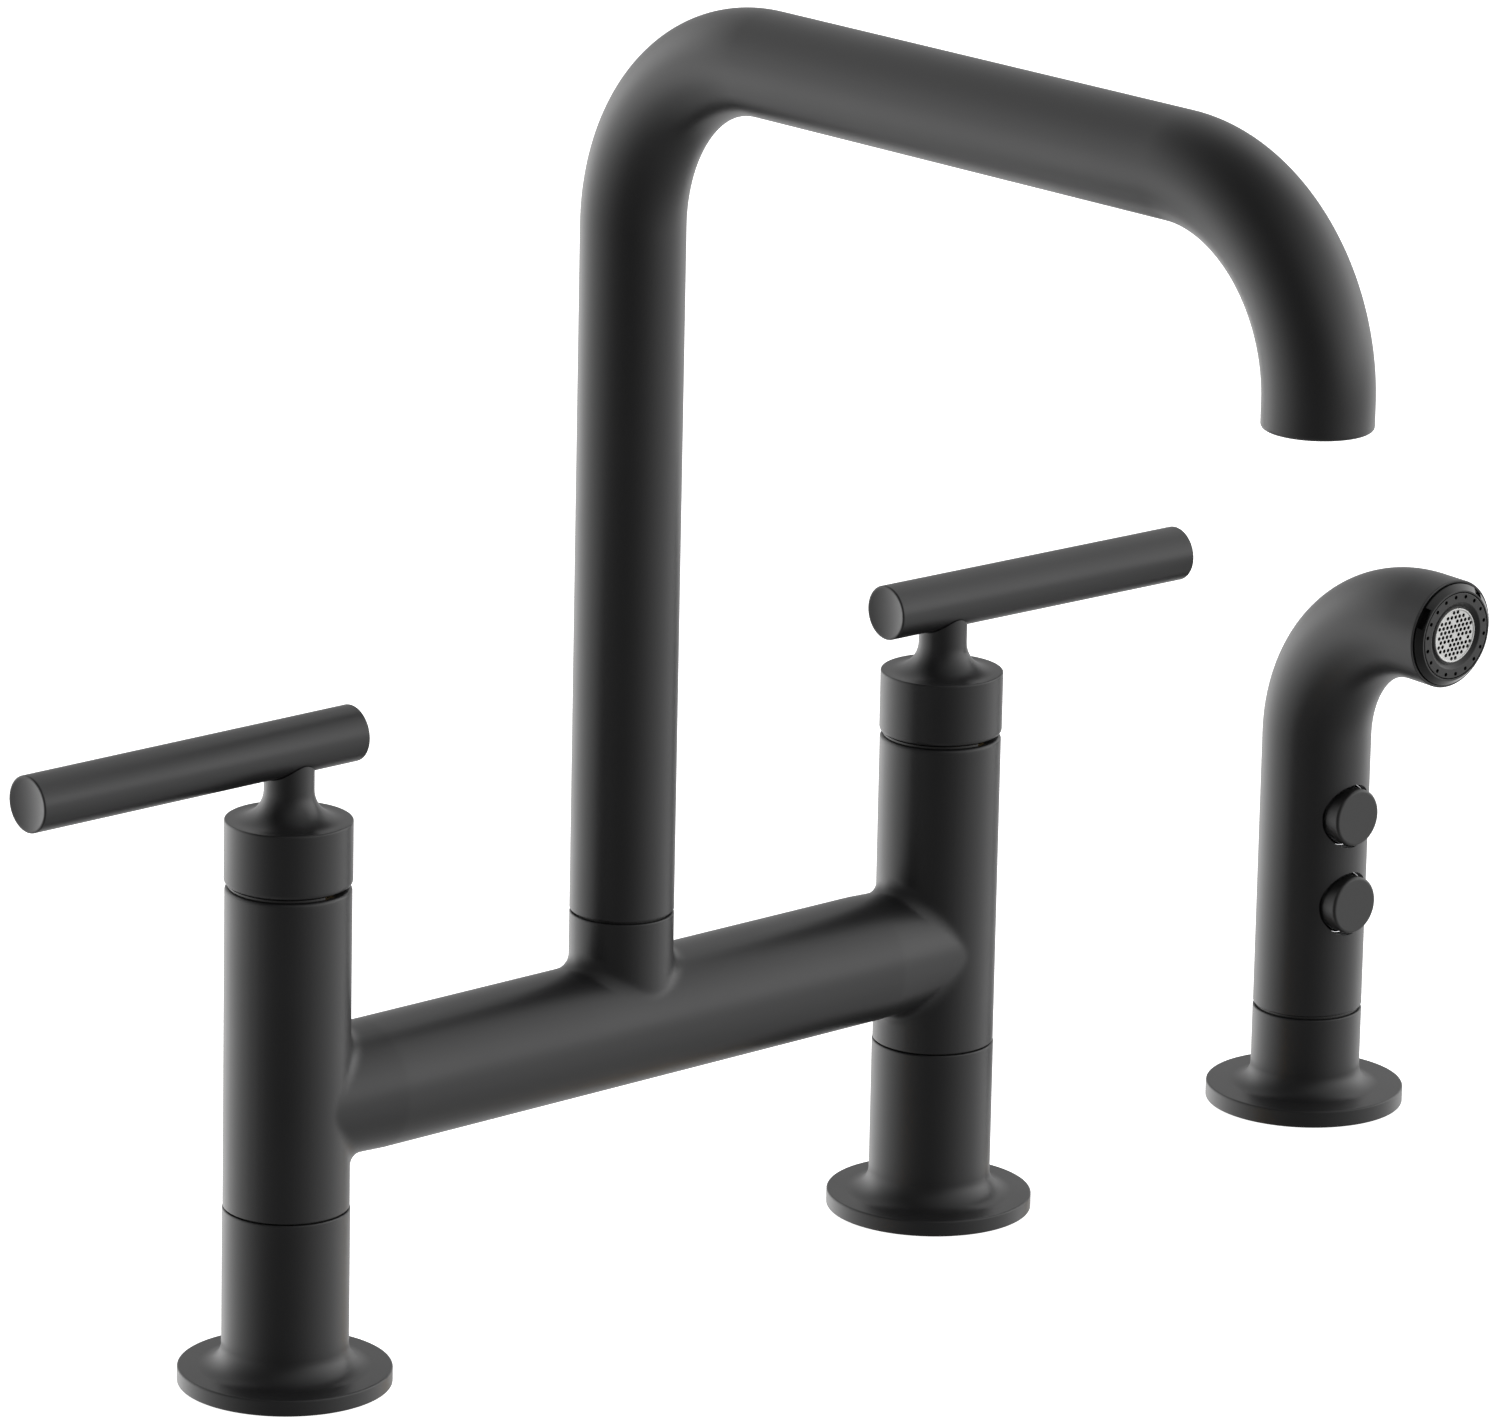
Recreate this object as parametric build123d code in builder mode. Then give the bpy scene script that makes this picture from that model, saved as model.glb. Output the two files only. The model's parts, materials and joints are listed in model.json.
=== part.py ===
"""Bridge kitchen faucet with two lever handles, a swivel spout and a side spray.

Millimetres. The origin lies on the deck, midway between the hot and the cold post.
+X runs along the bridge to the cold post, the spout points to -Y, +Z is up.
"""

import os
from math import cos, pi, radians, sin, tan

from build123d import *

os.makedirs("parts", exist_ok=True)

# ---------------------------------------------------------------- layout
post_spacing = 203.2            # hot post to cold post, centre to centre
spray_offset = 131.4            # cold post to side spray, along X
spray_setback = 2.0             # side spray's hole, towards the wall
deck_thickness = 25.0           # worktop that the nuts are drawn up for
cold_lever_turn = -1.8          # the cold lever stands a little ajar, in degrees

# ---------------------------------------------------------------- clearances
running = 0.05                  # radial, a shaft or spindle in its bore
thread_gap = 0.05               # radial, between modelled threads
assembly_gap = 0.15             # radial, pushed in by hand and sealed or screwed
moving_gap = 0.3                # between other pieces that move past each other
face_gap = 0.05                 # axial, between faces that slide on each other
seam_chamfer = 0.3              # broken edge on each side of a seam
matching = 0.01                 # how near an edge lies to the place it is looked for

# ---------------------------------------------------------------- post bases
base_step = 0.13                # riser wider than the post above it, each side
base_height = 42.9              # deck to the seam under the bridge casting
base_wall = 2.4
flange_width = 10.23            # out from the riser
flange_thickness = 3.95
flange_edge = 0.45              # rounded rim of a flange
base_blend = 5.5                # riser into flange
gasket_inset = 4.06             # in from the flange's rim
gasket_thickness = 1.5

# ---------------------------------------------------------------- shanks and deck nuts
shank_radius = 10.48            # half-inch straight pipe thread, over the crests
shank_bore = 7.8
shank_depth = 62.0              # below the deck
inlet_length = 14.0             # free thread for the supply nut
relief_width = 3.0              # run-out groove above the supply thread
relief_depth = 0.9
washer_outer = 19.0
washer_thickness = 2.0
nut_flats = 30.0                # across the flats
nut_height = 8.0

# ---------------------------------------------------------------- bridge casting
post_radius = 14.7
post_length = 77.0              # seam to the casting's top
post_edge = 0.8                 # rounded edge under the hub
bridge_radius = 15.31
bridge_rise = 24.66             # bridge's axis above that seam
bridge_bore = 7.5
bridge_neck_step = 0.35         # the tube's end narrower than the post, each side
bridge_neck_length = 24.0
post_blend = 4.0                # bridge into post
socket_rise = 27.24             # socket's top above the bridge's axis
socket_blend = 4.0              # socket into bridge
inlet_port = 5.5
seat_web = 1.6                  # metal between the shank's chamber and the cartridge's bore

# ---------------------------------------------------------------- valves
cartridge_radius = 8.0
cartridge_wall = 1.4
seal_thickness = 2.0
disc_thickness = 2.5
cartridge_floor = 1.0           # ledge under the fixed disc
disc_slot = 3.0                 # opening's width in each disc
collar_radius = 9.6             # cartridge's collar under the bonnet nut
collar_thickness = 3.0
window_height = 7.0             # side outlets to the bridge
window_width = 7.0
bonnet_radius = 11.0
bonnet_inset = 1.85             # its thread's end below the post's top
bonnet_thread_length = 12.0
bonnet_hex = 19.0               # across the flats
bonnet_hex_height = 3.6
stem_radius = 3.9
stem_driver = 5.6               # radius of the driver that turns the disc
stem_driver_height = 5.0
stem_lap = 2.8                  # stem's end above the set screw's axis
glide_ring_thickness = 0.65
glide_ring_width = 1.4
glide_ring_inset = 0.8          # in from the post's side
glide_ring_split = (-92, -30)   # open there, in degrees from +X

# ---------------------------------------------------------------- handles
hub_step = 0.15                 # hub wider than the post, each side
hub_lift = 0.15                 # over the glide ring
hub_height = 15.34
hub_edge = 0.4
hub_foot_edge = 1.1             # larger round over the glide ring
hub_cavity_gap = 1.2            # round the bonnet nut's corners
hub_cavity_height = 6.0
neck_radius = 5.85
neck_blend = 7.0
spigot_radius = 3.5
lever_radius = 6.65
neck_length = 10.47             # hub's top to the bar's underside
lever_inboard = 18.5            # bar's end past the post, towards the spout
lever_outboard = 75.5
lever_edge = 0.6
dish_depth = 0.55               # hollow in each end of the bar
dish_rim = 0.9
spigot_depth = 2.0              # spigot's end above the bar's axis
screw_radius = 2.0
screw_rise = 3.5                # set screw's axis above the hub's cavity
screw_length = 8.5
screw_socket = 2.8              # depth of the hexagon in its end

# ---------------------------------------------------------------- spout
spout_radius = 12.4
spout_wall = 2.0
spout_reach = 224.3             # post line to the outlet's axis
riser_length = 210.8            # tube's foot to the arm's axis
arm_rise = 0.55                 # degrees, towards the outlet
rear_bend = 46.1
front_bend = 44.2
outlet_straight = 5.58          # below the front bend
outlet_edge = 0.9
nipple_radius = 9.0
nipple_wall = 2.5
nipple_drop = 16.0              # below the seam
nipple_rise = 16.0              # inside the tube
ring_section = 0.9              # O-ring's half thickness
ring_drops = (5.0, 12.2)        # O-rings below the socket's top
ring_groove = 0.1               # groove wider than the ring, each way
slip_ring_thickness = 0.5
slip_ring_width = 1.6
lock_screw_drop = 8.6           # spout's lock screw below the socket's top
lock_screw_radius = 1.5
lock_groove_depth = 1.0

# ---------------------------------------------------------------- outlet fittings
aerator_recess = 1.0
aerator_step = 0.5              # seat wider than the tube's bore
aerator_length = 11.0
aerator_wall = 1.6
aerator_gasket_thickness = 1.5
aerator_grid = 1.9              # spacing of the outlet's perforations
aerator_rows = 7
aerator_hole = 0.65
aerator_rim = 1.0               # unpierced edge of the outlet's screen
aerator_plate = 0.8
insert_hole = 1.3
insert_holes = 6

# ---------------------------------------------------------------- diverter
diverter_radius = 6.6
diverter_wall = 2.2
diverter_drop = 11.36           # sleeve's bottom below the bridge's axis
diverter_gap = 2.2              # sleeve's top below the nipple
diverter_floor = 2.6
diverter_seat_rise = 4.04       # above the bridge's axis
diverter_seat_step = 0.6
diverter_window_width = 5.0
diverter_window_height = 3.4
spool_height = 8.6
spool_wall = 1.0
spool_crown = 1.5
spool_window = 3.0              # openings under the crown
spring_ring = 2.4               # opening in the sleeve's top ring
top_ring_thickness = 1.6
diverter_spring_wire = 0.3
diverter_spring_turns = 4
feed_radius = 2.0               # tube that carries water to the spray
feed_wall = 0.5
feed_drop = 4.96                # tube's axis below the bridge's
feed_offset = 11.2              # drop beside the cold cartridge
feed_straight = 1.46            # between the drop's two bends
feed_inset = 5.0                # tube's place in the shank
feed_bend = 3.0

# ---------------------------------------------------------------- supply tee
tee_radius = 13.5
tee_length = 33.0
tee_floor = 4.0
tee_lap = 12.0                  # over the cold shank's supply thread
tee_thread = 12.0               # free thread of the branch
branch_root = 15.0              # branch's shoulder from the shank's axis
branch_rise = 12.0              # branch's axis above the tee's bottom
spray_thread_radius = 6.86      # quarter-inch straight pipe thread
spray_thread_length = 12.0
feed_end = 3.0                  # tube's end above the outlet's mouth

# ---------------------------------------------------------------- spray holder
holder_step = 0.05              # wider than the handset, each side
holder_top = 24.9
holder_flange_width = 11.15
holder_flange_thickness = 4.4
holder_blend = 5.0
guide_radius = 11.2
guide_wall = 2.0
guide_depth = 46.0              # below the deck
guide_lip = 0.65
guide_lip_inset = 0.75          # in from the holder's side

# ---------------------------------------------------------------- spray handset
spray_radius = 13.7
spray_wall = 1.8
spray_straight = 70.55          # below the bend
spray_bend = 35.9
spray_bend_angle = 91.4         # from straight up, so the face looks slightly down
spray_nose = 8.1                # straight end past the bend
spray_lip = 1.3                 # inward lip at the handset's foot
coupling_head = 7.0
coupling_skirt = 20.0           # below the handset's foot
coupling_bore = 3.5
coupling_tail = 9.0             # hose thread
core_duct = 2.6
core_duct_offset = 6.5
button_rises = (51.85, 28.95)   # above the handset's foot
button_radius = 7.3
button_stand = 1.9              # proud of the shell
button_back = 8.0               # from the handset's axis
button_edge = 1.0
button_travel = 1.8
button_spring_room = 3.2        # left under a pressed button
button_stem = 1.2
button_stem_reach = 2.0         # past the pocket's floor
button_ring_wall = 0.5
button_ring_depth = 2.2
button_ring_sink = 0.2          # below the shell's flank
button_spring_radius = 4.0
button_spring_wire = 0.35
button_spring_turns = 3
face_rim = 0.75                 # shell's thickness round the face
face_counterbore = 5.0
face_collar_wall = 1.9
collar_stand = 0.5              # collar's lip proud of the shell
face_bevel = 1.4                # slope from that lip up to the nozzles' face
face_thickness = 5.65
face_seal_width = 2.4
face_seal_thickness = 1.5
nozzle_count = 18
nozzle_inset = 1.0              # nozzles' circle in from the face's rim
nozzle_radius = 0.45
screen_radius = 6.9
screen_thickness = 1.2
screen_sink = 0.25              # below the nozzles' face
screen_well = 0.8               # bevelled hollow round the screen
screen_rim = 0.8                # unpierced edge
screen_grid = 1.45
screen_rows = 9
screen_hole = 0.5
notches = ((50.5, 2.8), (151.0, 5.4), (247.0, 2.8))  # degrees from +X, and width
notch_depth = 0.9               # below the collar's lip

# ---------------------------------------------------------------- worked-out places
half_spacing = post_spacing / 2
spray_x = half_spacing + spray_offset
spray_y = spray_setback
base_radius = post_radius + base_step
flange_radius = base_radius + flange_width
gasket_outer = flange_radius - gasket_inset
post_top = base_height + post_length
bridge_height = base_height + bridge_rise
bridge_neck_radius = post_radius - bridge_neck_step
socket_radius = spout_radius
socket_top = bridge_height + socket_rise
feed_height = bridge_height - feed_drop
jog_top = feed_height - feed_bend * (1 + tan(pi / 8)) - feed_straight
jog_bottom = jog_top - feed_offset + feed_inset
shank_top = jog_bottom - feed_radius - moving_gap
chamber_top = jog_top + feed_radius / 2
diverter_bottom = bridge_height - diverter_drop
diverter_seat_height = bridge_height + diverter_seat_rise
seat_height = chamber_top + seat_web
seal_top = seat_height + seal_thickness
fixed_disc_bottom = seal_top + cartridge_floor
fixed_disc_top = fixed_disc_bottom + disc_thickness
turning_disc_bottom = fixed_disc_top + face_gap
turning_disc_top = turning_disc_bottom + disc_thickness
bonnet_top = post_top - bonnet_inset
bonnet_bottom = bonnet_top - bonnet_thread_length
collar_top = bonnet_bottom - face_gap
collar_height = collar_top - collar_thickness
cartridge_ledge = collar_height - stem_driver_height
cartridge_bore = cartridge_radius - cartridge_wall
disc_radius = cartridge_bore - assembly_gap
hub_radius = post_radius + hub_step
hub_bottom = post_top + glide_ring_thickness + hub_lift
hub_top = hub_bottom + hub_height
hub_cavity = bonnet_hex / 2 / cos(pi / 6) + hub_cavity_gap
screw_height = hub_bottom + hub_cavity_height + screw_rise
stem_top = screw_height + stem_lap
lever_height = hub_top + neck_length + lever_radius
spout_bottom = socket_top + slip_ring_thickness + face_gap
arm_height = spout_bottom + riser_length
arm_end_height = arm_height + spout_reach * tan(radians(arm_rise))
outlet_height = arm_end_height - front_bend * tan(radians(90 + arm_rise) / 2) - outlet_straight
holder_radius = spray_radius + holder_step
holder_flange_radius = holder_radius + holder_flange_width
guide_bore = guide_radius - guide_wall
coupling_radius = guide_bore - moving_gap
spray_bottom = holder_top + guide_lip + 2 * face_gap
nut_top = -deck_thickness - washer_thickness
sides = (("hot", -1, 0.0), ("cold", 1, cold_lever_turn))


def upright(x, y=0.0, turn=0.0, facing=1):
    """Vertical plane through an upright axis: local x points outwards, local y up."""
    out = Vector(facing * cos(radians(turn)), facing * sin(radians(turn)), 0)
    return Plane(origin=(x, y, 0), x_dir=out, z_dir=out.cross(Vector(0, 0, 1)))


def outline(plane, points):
    """A closed outline of straight lines on the plane."""
    with BuildSketch(plane) as drawn:
        with BuildLine():
            Polyline(*points, close=True)
        make_face()
    return drawn.sketch


def ring_face(height, centres, outer, inner=0.0):
    """Round faces, holed if inner is given, on the level at that height."""
    with BuildSketch(Plane.XY.offset(height)) as drawn:
        with Locations(*centres):
            Circle(outer)
            if inner:
                Circle(inner, mode=Mode.SUBTRACT)
    return drawn.sketch


def hex_face(height, centres, flats, inner):
    """Hexagons with a round hole, on the level at that height."""
    with BuildSketch(Plane.XY.offset(height)) as drawn:
        with Locations(*centres):
            RegularPolygon(flats / 2, 6, major_radius=False)
            Circle(inner, mode=Mode.SUBTRACT)
    return drawn.sketch


def rims(piece, radius, height):
    """The round edges of that radius at that height."""
    return [
        edge
        for edge in piece.edges().filter_by(GeomType.CIRCLE)
        if abs(edge.radius - radius) < matching and abs(edge.arc_center.Z - height) < matching
    ]


def save(piece, name):
    """Label a finished piece and write its STEP file."""
    piece.part.label = name
    export_step(piece.part, f"parts/{name}.step")


post_centres = [(-half_spacing, 0), (half_spacing, 0)]
cold_centre = [(half_spacing, 0)]
spray_centre = [(spray_x, spray_y)]
middle = [(0, 0)]

# ================================================================ bridge casting
with BuildPart() as bridge_body:
    extrude(ring_face(base_height, post_centres, post_radius), amount=post_top - base_height)
    neck_start = half_spacing - bridge_neck_length
    revolve(
        outline(
            upright(0),
            [
                (-half_spacing, bridge_height),
                (-half_spacing, bridge_height + bridge_neck_radius),
                (-neck_start, bridge_height + bridge_radius),
                (neck_start, bridge_height + bridge_radius),
                (half_spacing, bridge_height + bridge_neck_radius),
                (half_spacing, bridge_height),
            ],
        ),
        axis=Axis((0, 0, bridge_height), (1, 0, 0)),
    )
    fillet(
        [e for e in bridge_body.edges() if e.geom_type not in (GeomType.LINE, GeomType.CIRCLE)],
        radius=post_blend,
    )
    extrude(ring_face(bridge_height, middle, socket_radius), amount=socket_top - bridge_height)
    fillet(
        [
            e
            for e in bridge_body.edges()
            if e.geom_type not in (GeomType.LINE, GeomType.CIRCLE)
            and abs(e.center().X) < socket_radius
            and e.center().Z > bridge_height
        ],
        radius=socket_blend,
    )
    chamfer(rims(bridge_body, socket_radius, socket_top), length=seam_chamfer)
    fillet(rims(bridge_body, post_radius, post_top), radius=post_edge)
    chamfer(rims(bridge_body, post_radius, base_height), length=seam_chamfer)
    # shank socket, inlet port, cartridge bore and bonnet thread, from the bottom up
    for bottom, top, bore in (
        (base_height, chamber_top, shank_radius + thread_gap),
        (chamber_top, seat_height, inlet_port),
        (seat_height, collar_height, cartridge_radius + assembly_gap),
        (collar_height, collar_top, collar_radius + assembly_gap),
        (collar_top, post_top, bonnet_radius + thread_gap),
    ):
        extrude(ring_face(bottom, post_centres, bore), amount=top - bottom, mode=Mode.SUBTRACT)
    # waterway along the bridge
    with BuildSketch(Plane.YZ.offset(-half_spacing)):
        with Locations((0, bridge_height)):
            Circle(bridge_bore)
    extrude(amount=post_spacing, mode=Mode.SUBTRACT)
    # diverter's bore and the socket that the spout turns in
    extrude(
        ring_face(diverter_bottom, middle, diverter_radius + assembly_gap),
        amount=socket_top - diverter_bottom,
        mode=Mode.SUBTRACT,
    )
    extrude(
        ring_face(socket_top - nipple_drop - moving_gap, middle, nipple_radius + running),
        amount=nipple_drop + moving_gap,
        mode=Mode.SUBTRACT,
    )
    # lock screw's hole in the back of the socket
    with BuildSketch(Plane.XZ):
        with Locations((0, socket_top - lock_screw_drop)):
            Circle(lock_screw_radius + thread_gap)
    extrude(amount=-socket_radius * 2, mode=Mode.SUBTRACT)
    # drop for the spray's feed tube, beside the cold cartridge
    extrude(
        ring_face(shank_top, [(half_spacing - feed_offset, 0)], feed_radius + assembly_gap),
        amount=bridge_height - shank_top,
        mode=Mode.SUBTRACT,
    )
save(bridge_body, "bridge_body")

# ================================================================ bases, shanks, deck fixings
for side, facing, _ in sides:
    centre = [(facing * half_spacing, 0)]
    with BuildPart() as base:
        extrude(ring_face(0, centre, flange_radius), amount=flange_thickness)
        extrude(ring_face(0, centre, base_radius), amount=base_height)
        fillet(rims(base, base_radius, flange_thickness), radius=base_blend)
        fillet(rims(base, flange_radius, flange_thickness), radius=flange_edge)
        chamfer(rims(base, base_radius, base_height), length=seam_chamfer)
        # hollow riser, bore for the shank at its top, recess for the gasket
        extrude(
            ring_face(0, centre, base_radius - base_wall),
            amount=base_height - base_wall,
            mode=Mode.SUBTRACT,
        )
        extrude(
            ring_face(0, centre, shank_radius + assembly_gap),
            amount=base_height,
            mode=Mode.SUBTRACT,
        )
        extrude(
            ring_face(0, centre, gasket_outer + assembly_gap),
            amount=gasket_thickness,
            mode=Mode.SUBTRACT,
        )
    save(base, f"{side}_base")

    with BuildPart() as shank:
        relief_bottom = inlet_length - shank_depth
        relief_top = relief_bottom + relief_width
        relief_radius = shank_radius - relief_depth
        revolve(
            outline(
                upright(facing * half_spacing),
                [
                    (shank_bore, -shank_depth),
                    (shank_radius, -shank_depth),
                    (shank_radius, relief_bottom),
                    (relief_radius, relief_bottom),
                    (relief_radius, relief_top),
                    (shank_radius, relief_top),
                    (shank_radius, shank_top),
                    (shank_bore, shank_top),
                ],
            ),
            axis=Axis((facing * half_spacing, 0, 0), (0, 0, 1)),
        )
    save(shank, f"{side}_shank")

with BuildPart() as deck_gaskets:
    extrude(
        ring_face(0, post_centres, gasket_outer, base_radius - base_wall), amount=gasket_thickness
    )
save(deck_gaskets, "deck_gaskets")

with BuildPart() as shank_washers:
    extrude(
        ring_face(-deck_thickness, post_centres, washer_outer, shank_radius + assembly_gap),
        amount=-washer_thickness,
    )
save(shank_washers, "shank_washers")

with BuildPart() as shank_nuts:
    extrude(
        hex_face(nut_top, post_centres, nut_flats, shank_radius + thread_gap), amount=-nut_height
    )
save(shank_nuts, "shank_nuts")

# ================================================================ valves and handles
for side, facing, turn in sides:
    axis_x = facing * half_spacing
    centre = [(axis_x, 0)]
    post_axis = Axis((axis_x, 0, 0), (0, 0, 1))
    section = upright(axis_x, 0, turn, facing)

    with BuildPart() as seat_seal:
        extrude(ring_face(seat_height, centre, cartridge_radius, inlet_port), amount=seal_thickness)
    save(seat_seal, f"{side}_seat_seal")

    # shell with a ledge that carries the fixed disc, side windows to the bridge above the discs
    with BuildPart() as cartridge:
        revolve(
            outline(
                section,
                [
                    (inlet_port, seal_top),
                    (cartridge_radius, seal_top),
                    (cartridge_radius, collar_height),
                    (collar_radius, collar_height),
                    (collar_radius, collar_top),
                    (stem_radius + running, collar_top),
                    (stem_radius + running, cartridge_ledge),
                    (cartridge_bore, cartridge_ledge),
                    (cartridge_bore, fixed_disc_bottom),
                    (inlet_port, fixed_disc_bottom),
                ],
            ),
            axis=post_axis,
        )
        with BuildSketch(Plane.YZ.offset(axis_x - cartridge_radius)):
            with Locations((0, turning_disc_top + window_height / 2)):
                Rectangle(window_width, window_height)
        extrude(amount=2 * cartridge_radius, mode=Mode.SUBTRACT)
    save(cartridge, f"{side}_cartridge")

    # ceramic discs: the lower one stays, the upper one turns with the stem
    with BuildPart() as fixed_disc:
        extrude(ring_face(fixed_disc_bottom, centre, disc_radius), amount=disc_thickness)
        with BuildSketch(Plane.XY.offset(fixed_disc_bottom)):
            with Locations((axis_x, disc_radius / 2), (axis_x, -disc_radius / 2)):
                SlotOverall(disc_radius, disc_slot)
        extrude(amount=disc_thickness, mode=Mode.SUBTRACT)
    save(fixed_disc, f"{side}_fixed_disc")

    with BuildPart() as turning_disc:
        extrude(ring_face(turning_disc_bottom, centre, disc_radius), amount=disc_thickness)
        with BuildSketch(Plane.XY.offset(turning_disc_bottom)):
            with Locations((axis_x + disc_radius / 2, 0), (axis_x - disc_radius / 2, 0)):
                SlotOverall(disc_radius, disc_slot, rotation=90)
        extrude(amount=disc_thickness, mode=Mode.SUBTRACT)
    save(turning_disc, f"{side}_turning_disc")

    with BuildPart() as stem:
        extrude(ring_face(turning_disc_top, centre, stem_driver), amount=stem_driver_height)
        extrude(ring_face(turning_disc_top, centre, stem_radius), amount=stem_top - turning_disc_top)
        extrude(ring_face(cartridge_ledge - moving_gap, centre, stem_driver), amount=-stem_driver_height)
    save(stem, f"{side}_stem")

    with BuildPart() as bonnet_nut:
        extrude(ring_face(bonnet_bottom, centre, bonnet_radius), amount=bonnet_thread_length)
        extrude(
            hex_face(bonnet_top, centre, bonnet_hex, stem_radius), amount=bonnet_hex_height
        )
        extrude(
            ring_face(bonnet_bottom, centre, stem_radius + moving_gap),
            amount=bonnet_thread_length + bonnet_hex_height,
            mode=Mode.SUBTRACT,
        )
    save(bonnet_nut, f"{side}_bonnet_nut")

    with BuildPart() as glide_ring:
        ring_outer = post_radius - glide_ring_inset
        extrude(
            ring_face(post_top, centre, ring_outer, ring_outer - glide_ring_width),
            amount=glide_ring_thickness,
        )
        split = [
            (axis_x + post_radius * cos(radians(angle)), post_radius * sin(radians(angle)))
            for angle in (glide_ring_split[0], sum(glide_ring_split) / 2, glide_ring_split[1])
        ]
        extrude(
            outline(Plane.XY.offset(post_top), [(axis_x, 0), *split]),
            amount=glide_ring_thickness,
            mode=Mode.SUBTRACT,
        )
    save(glide_ring, f"{side}_glide_ring")

    with BuildPart() as hub:
        extrude(ring_face(hub_bottom, centre, hub_radius), amount=hub_top - hub_bottom)
        extrude(ring_face(hub_top, centre, neck_radius), amount=lever_height - hub_top)
        fillet(rims(hub, neck_radius, hub_top), radius=neck_blend)
        fillet(rims(hub, hub_radius, hub_top), radius=hub_edge)
        fillet(rims(hub, hub_radius, hub_bottom), radius=hub_foot_edge)
        # saddle under the bar, and the spigot that enters it
        saddle = lever_height + lever_radius + face_gap
        revolve(
            outline(
                section,
                [
                    (-hub_radius, lever_height),
                    (-hub_radius, saddle),
                    (hub_radius, saddle),
                    (hub_radius, lever_height),
                ],
            ),
            axis=Axis((axis_x, 0, lever_height), section.x_dir),
            mode=Mode.SUBTRACT,
        )
        extrude(ring_face(hub_top, centre, spigot_radius), amount=lever_height + spigot_depth - hub_top)
        # room for the bonnet nut, socket for the stem, hole for the set screw
        extrude(
            ring_face(hub_bottom, centre, hub_cavity),
            amount=hub_cavity_height,
            mode=Mode.SUBTRACT,
        )
        extrude(
            ring_face(hub_bottom, centre, stem_radius + running),
            amount=stem_top + moving_gap - hub_bottom,
            mode=Mode.SUBTRACT,
        )
        with BuildSketch(upright(axis_x, 0, turn)):
            with Locations((0, screw_height)):
                Circle(screw_radius + thread_gap)
        extrude(amount=-2 * hub_radius, mode=Mode.SUBTRACT)
    save(hub, f"{side}_hub")

    with BuildPart() as lever:
        with BuildSketch(section):
            with BuildLine():
                near, far = -lever_inboard, lever_outboard
                crown = lever_height + lever_radius
                Polyline(
                    (near + dish_depth, lever_height),
                    (near, crown - dish_rim - lever_edge),
                    (near, crown - lever_edge),
                    (near + lever_edge, crown),
                    (far - lever_edge, crown),
                    (far, crown - lever_edge),
                    (far, crown - dish_rim - lever_edge),
                    (far - dish_depth, lever_height),
                    close=True,
                )
            make_face()
        revolve(axis=Axis((axis_x, 0, lever_height), section.x_dir))
        extrude(
            ring_face(lever_height - lever_radius, centre, spigot_radius + assembly_gap),
            amount=lever_radius + spigot_depth + face_gap,
            mode=Mode.SUBTRACT,
        )
    save(lever, f"{side}_lever")

    with BuildPart() as set_screw:
        with BuildSketch(upright(axis_x, 0, turn).offset(-stem_radius - running)):
            with Locations((0, screw_height)):
                Circle(screw_radius)
        extrude(amount=-screw_length)
        with BuildSketch(upright(axis_x, 0, turn).offset(-stem_radius - running - screw_length)):
            with Locations((0, screw_height)):
                RegularPolygon(screw_radius / 2, 6)
        extrude(amount=screw_socket, mode=Mode.SUBTRACT)
    save(set_screw, f"{side}_set_screw")

# ================================================================ spout
outlet_centre = [(0, -spout_reach)]
spout_bore = spout_radius - spout_wall
aerator_seat = spout_bore + aerator_step
with BuildLine() as spout_path:
    FilletPolyline(
        (0, 0, spout_bottom),
        (0, 0, arm_height),
        (0, -spout_reach, arm_end_height),
        (0, -spout_reach, outlet_height),
        radius=[rear_bend, front_bend],
    )

with BuildPart() as spout_tube:
    with BuildSketch(Plane.XY.offset(spout_bottom)):
        Circle(spout_radius)
        Circle(spout_bore, mode=Mode.SUBTRACT)
    sweep(path=spout_path.wire())
    chamfer(rims(spout_tube, spout_radius, spout_bottom), length=seam_chamfer)
    fillet(rims(spout_tube, spout_radius, outlet_height), radius=outlet_edge)
    # straight seat for the aerator, in from the mouth
    extrude(
        ring_face(outlet_height, outlet_centre, aerator_seat),
        amount=aerator_recess + aerator_length + aerator_gasket_thickness,
        mode=Mode.SUBTRACT,
    )
save(spout_tube, "spout_tube")

with BuildPart() as spout_nipple:
    nipple_bore = nipple_radius - nipple_wall
    extrude(
        ring_face(socket_top - nipple_drop, middle, nipple_radius),
        amount=spout_bottom + nipple_rise - socket_top + nipple_drop,
    )
    extrude(ring_face(spout_bottom, middle, spout_bore - running), amount=nipple_rise)
    extrude(
        ring_face(socket_top - nipple_drop, middle, nipple_bore),
        amount=spout_bottom + nipple_rise - socket_top + nipple_drop,
        mode=Mode.SUBTRACT,
    )
    groove_floor = nipple_radius - 2 * ring_section - ring_groove
    for drop in ring_drops:
        extrude(
            ring_face(socket_top - drop - ring_section - ring_groove, middle, nipple_radius, groove_floor),
            amount=2 * (ring_section + ring_groove),
            mode=Mode.SUBTRACT,
        )
    extrude(
        ring_face(
            socket_top - lock_screw_drop - lock_screw_radius - ring_groove,
            middle,
            nipple_radius,
            nipple_radius - lock_groove_depth - ring_groove,
        ),
        amount=2 * (lock_screw_radius + ring_groove),
        mode=Mode.SUBTRACT,
    )
save(spout_nipple, "spout_nipple")

with BuildPart() as spout_rings:
    for drop in ring_drops:
        with BuildSketch(Plane.XZ):
            with Locations((nipple_radius - ring_section, socket_top - drop)):
                Circle(ring_section)
        revolve(axis=Axis.Z)
save(spout_rings, "spout_rings")

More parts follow.
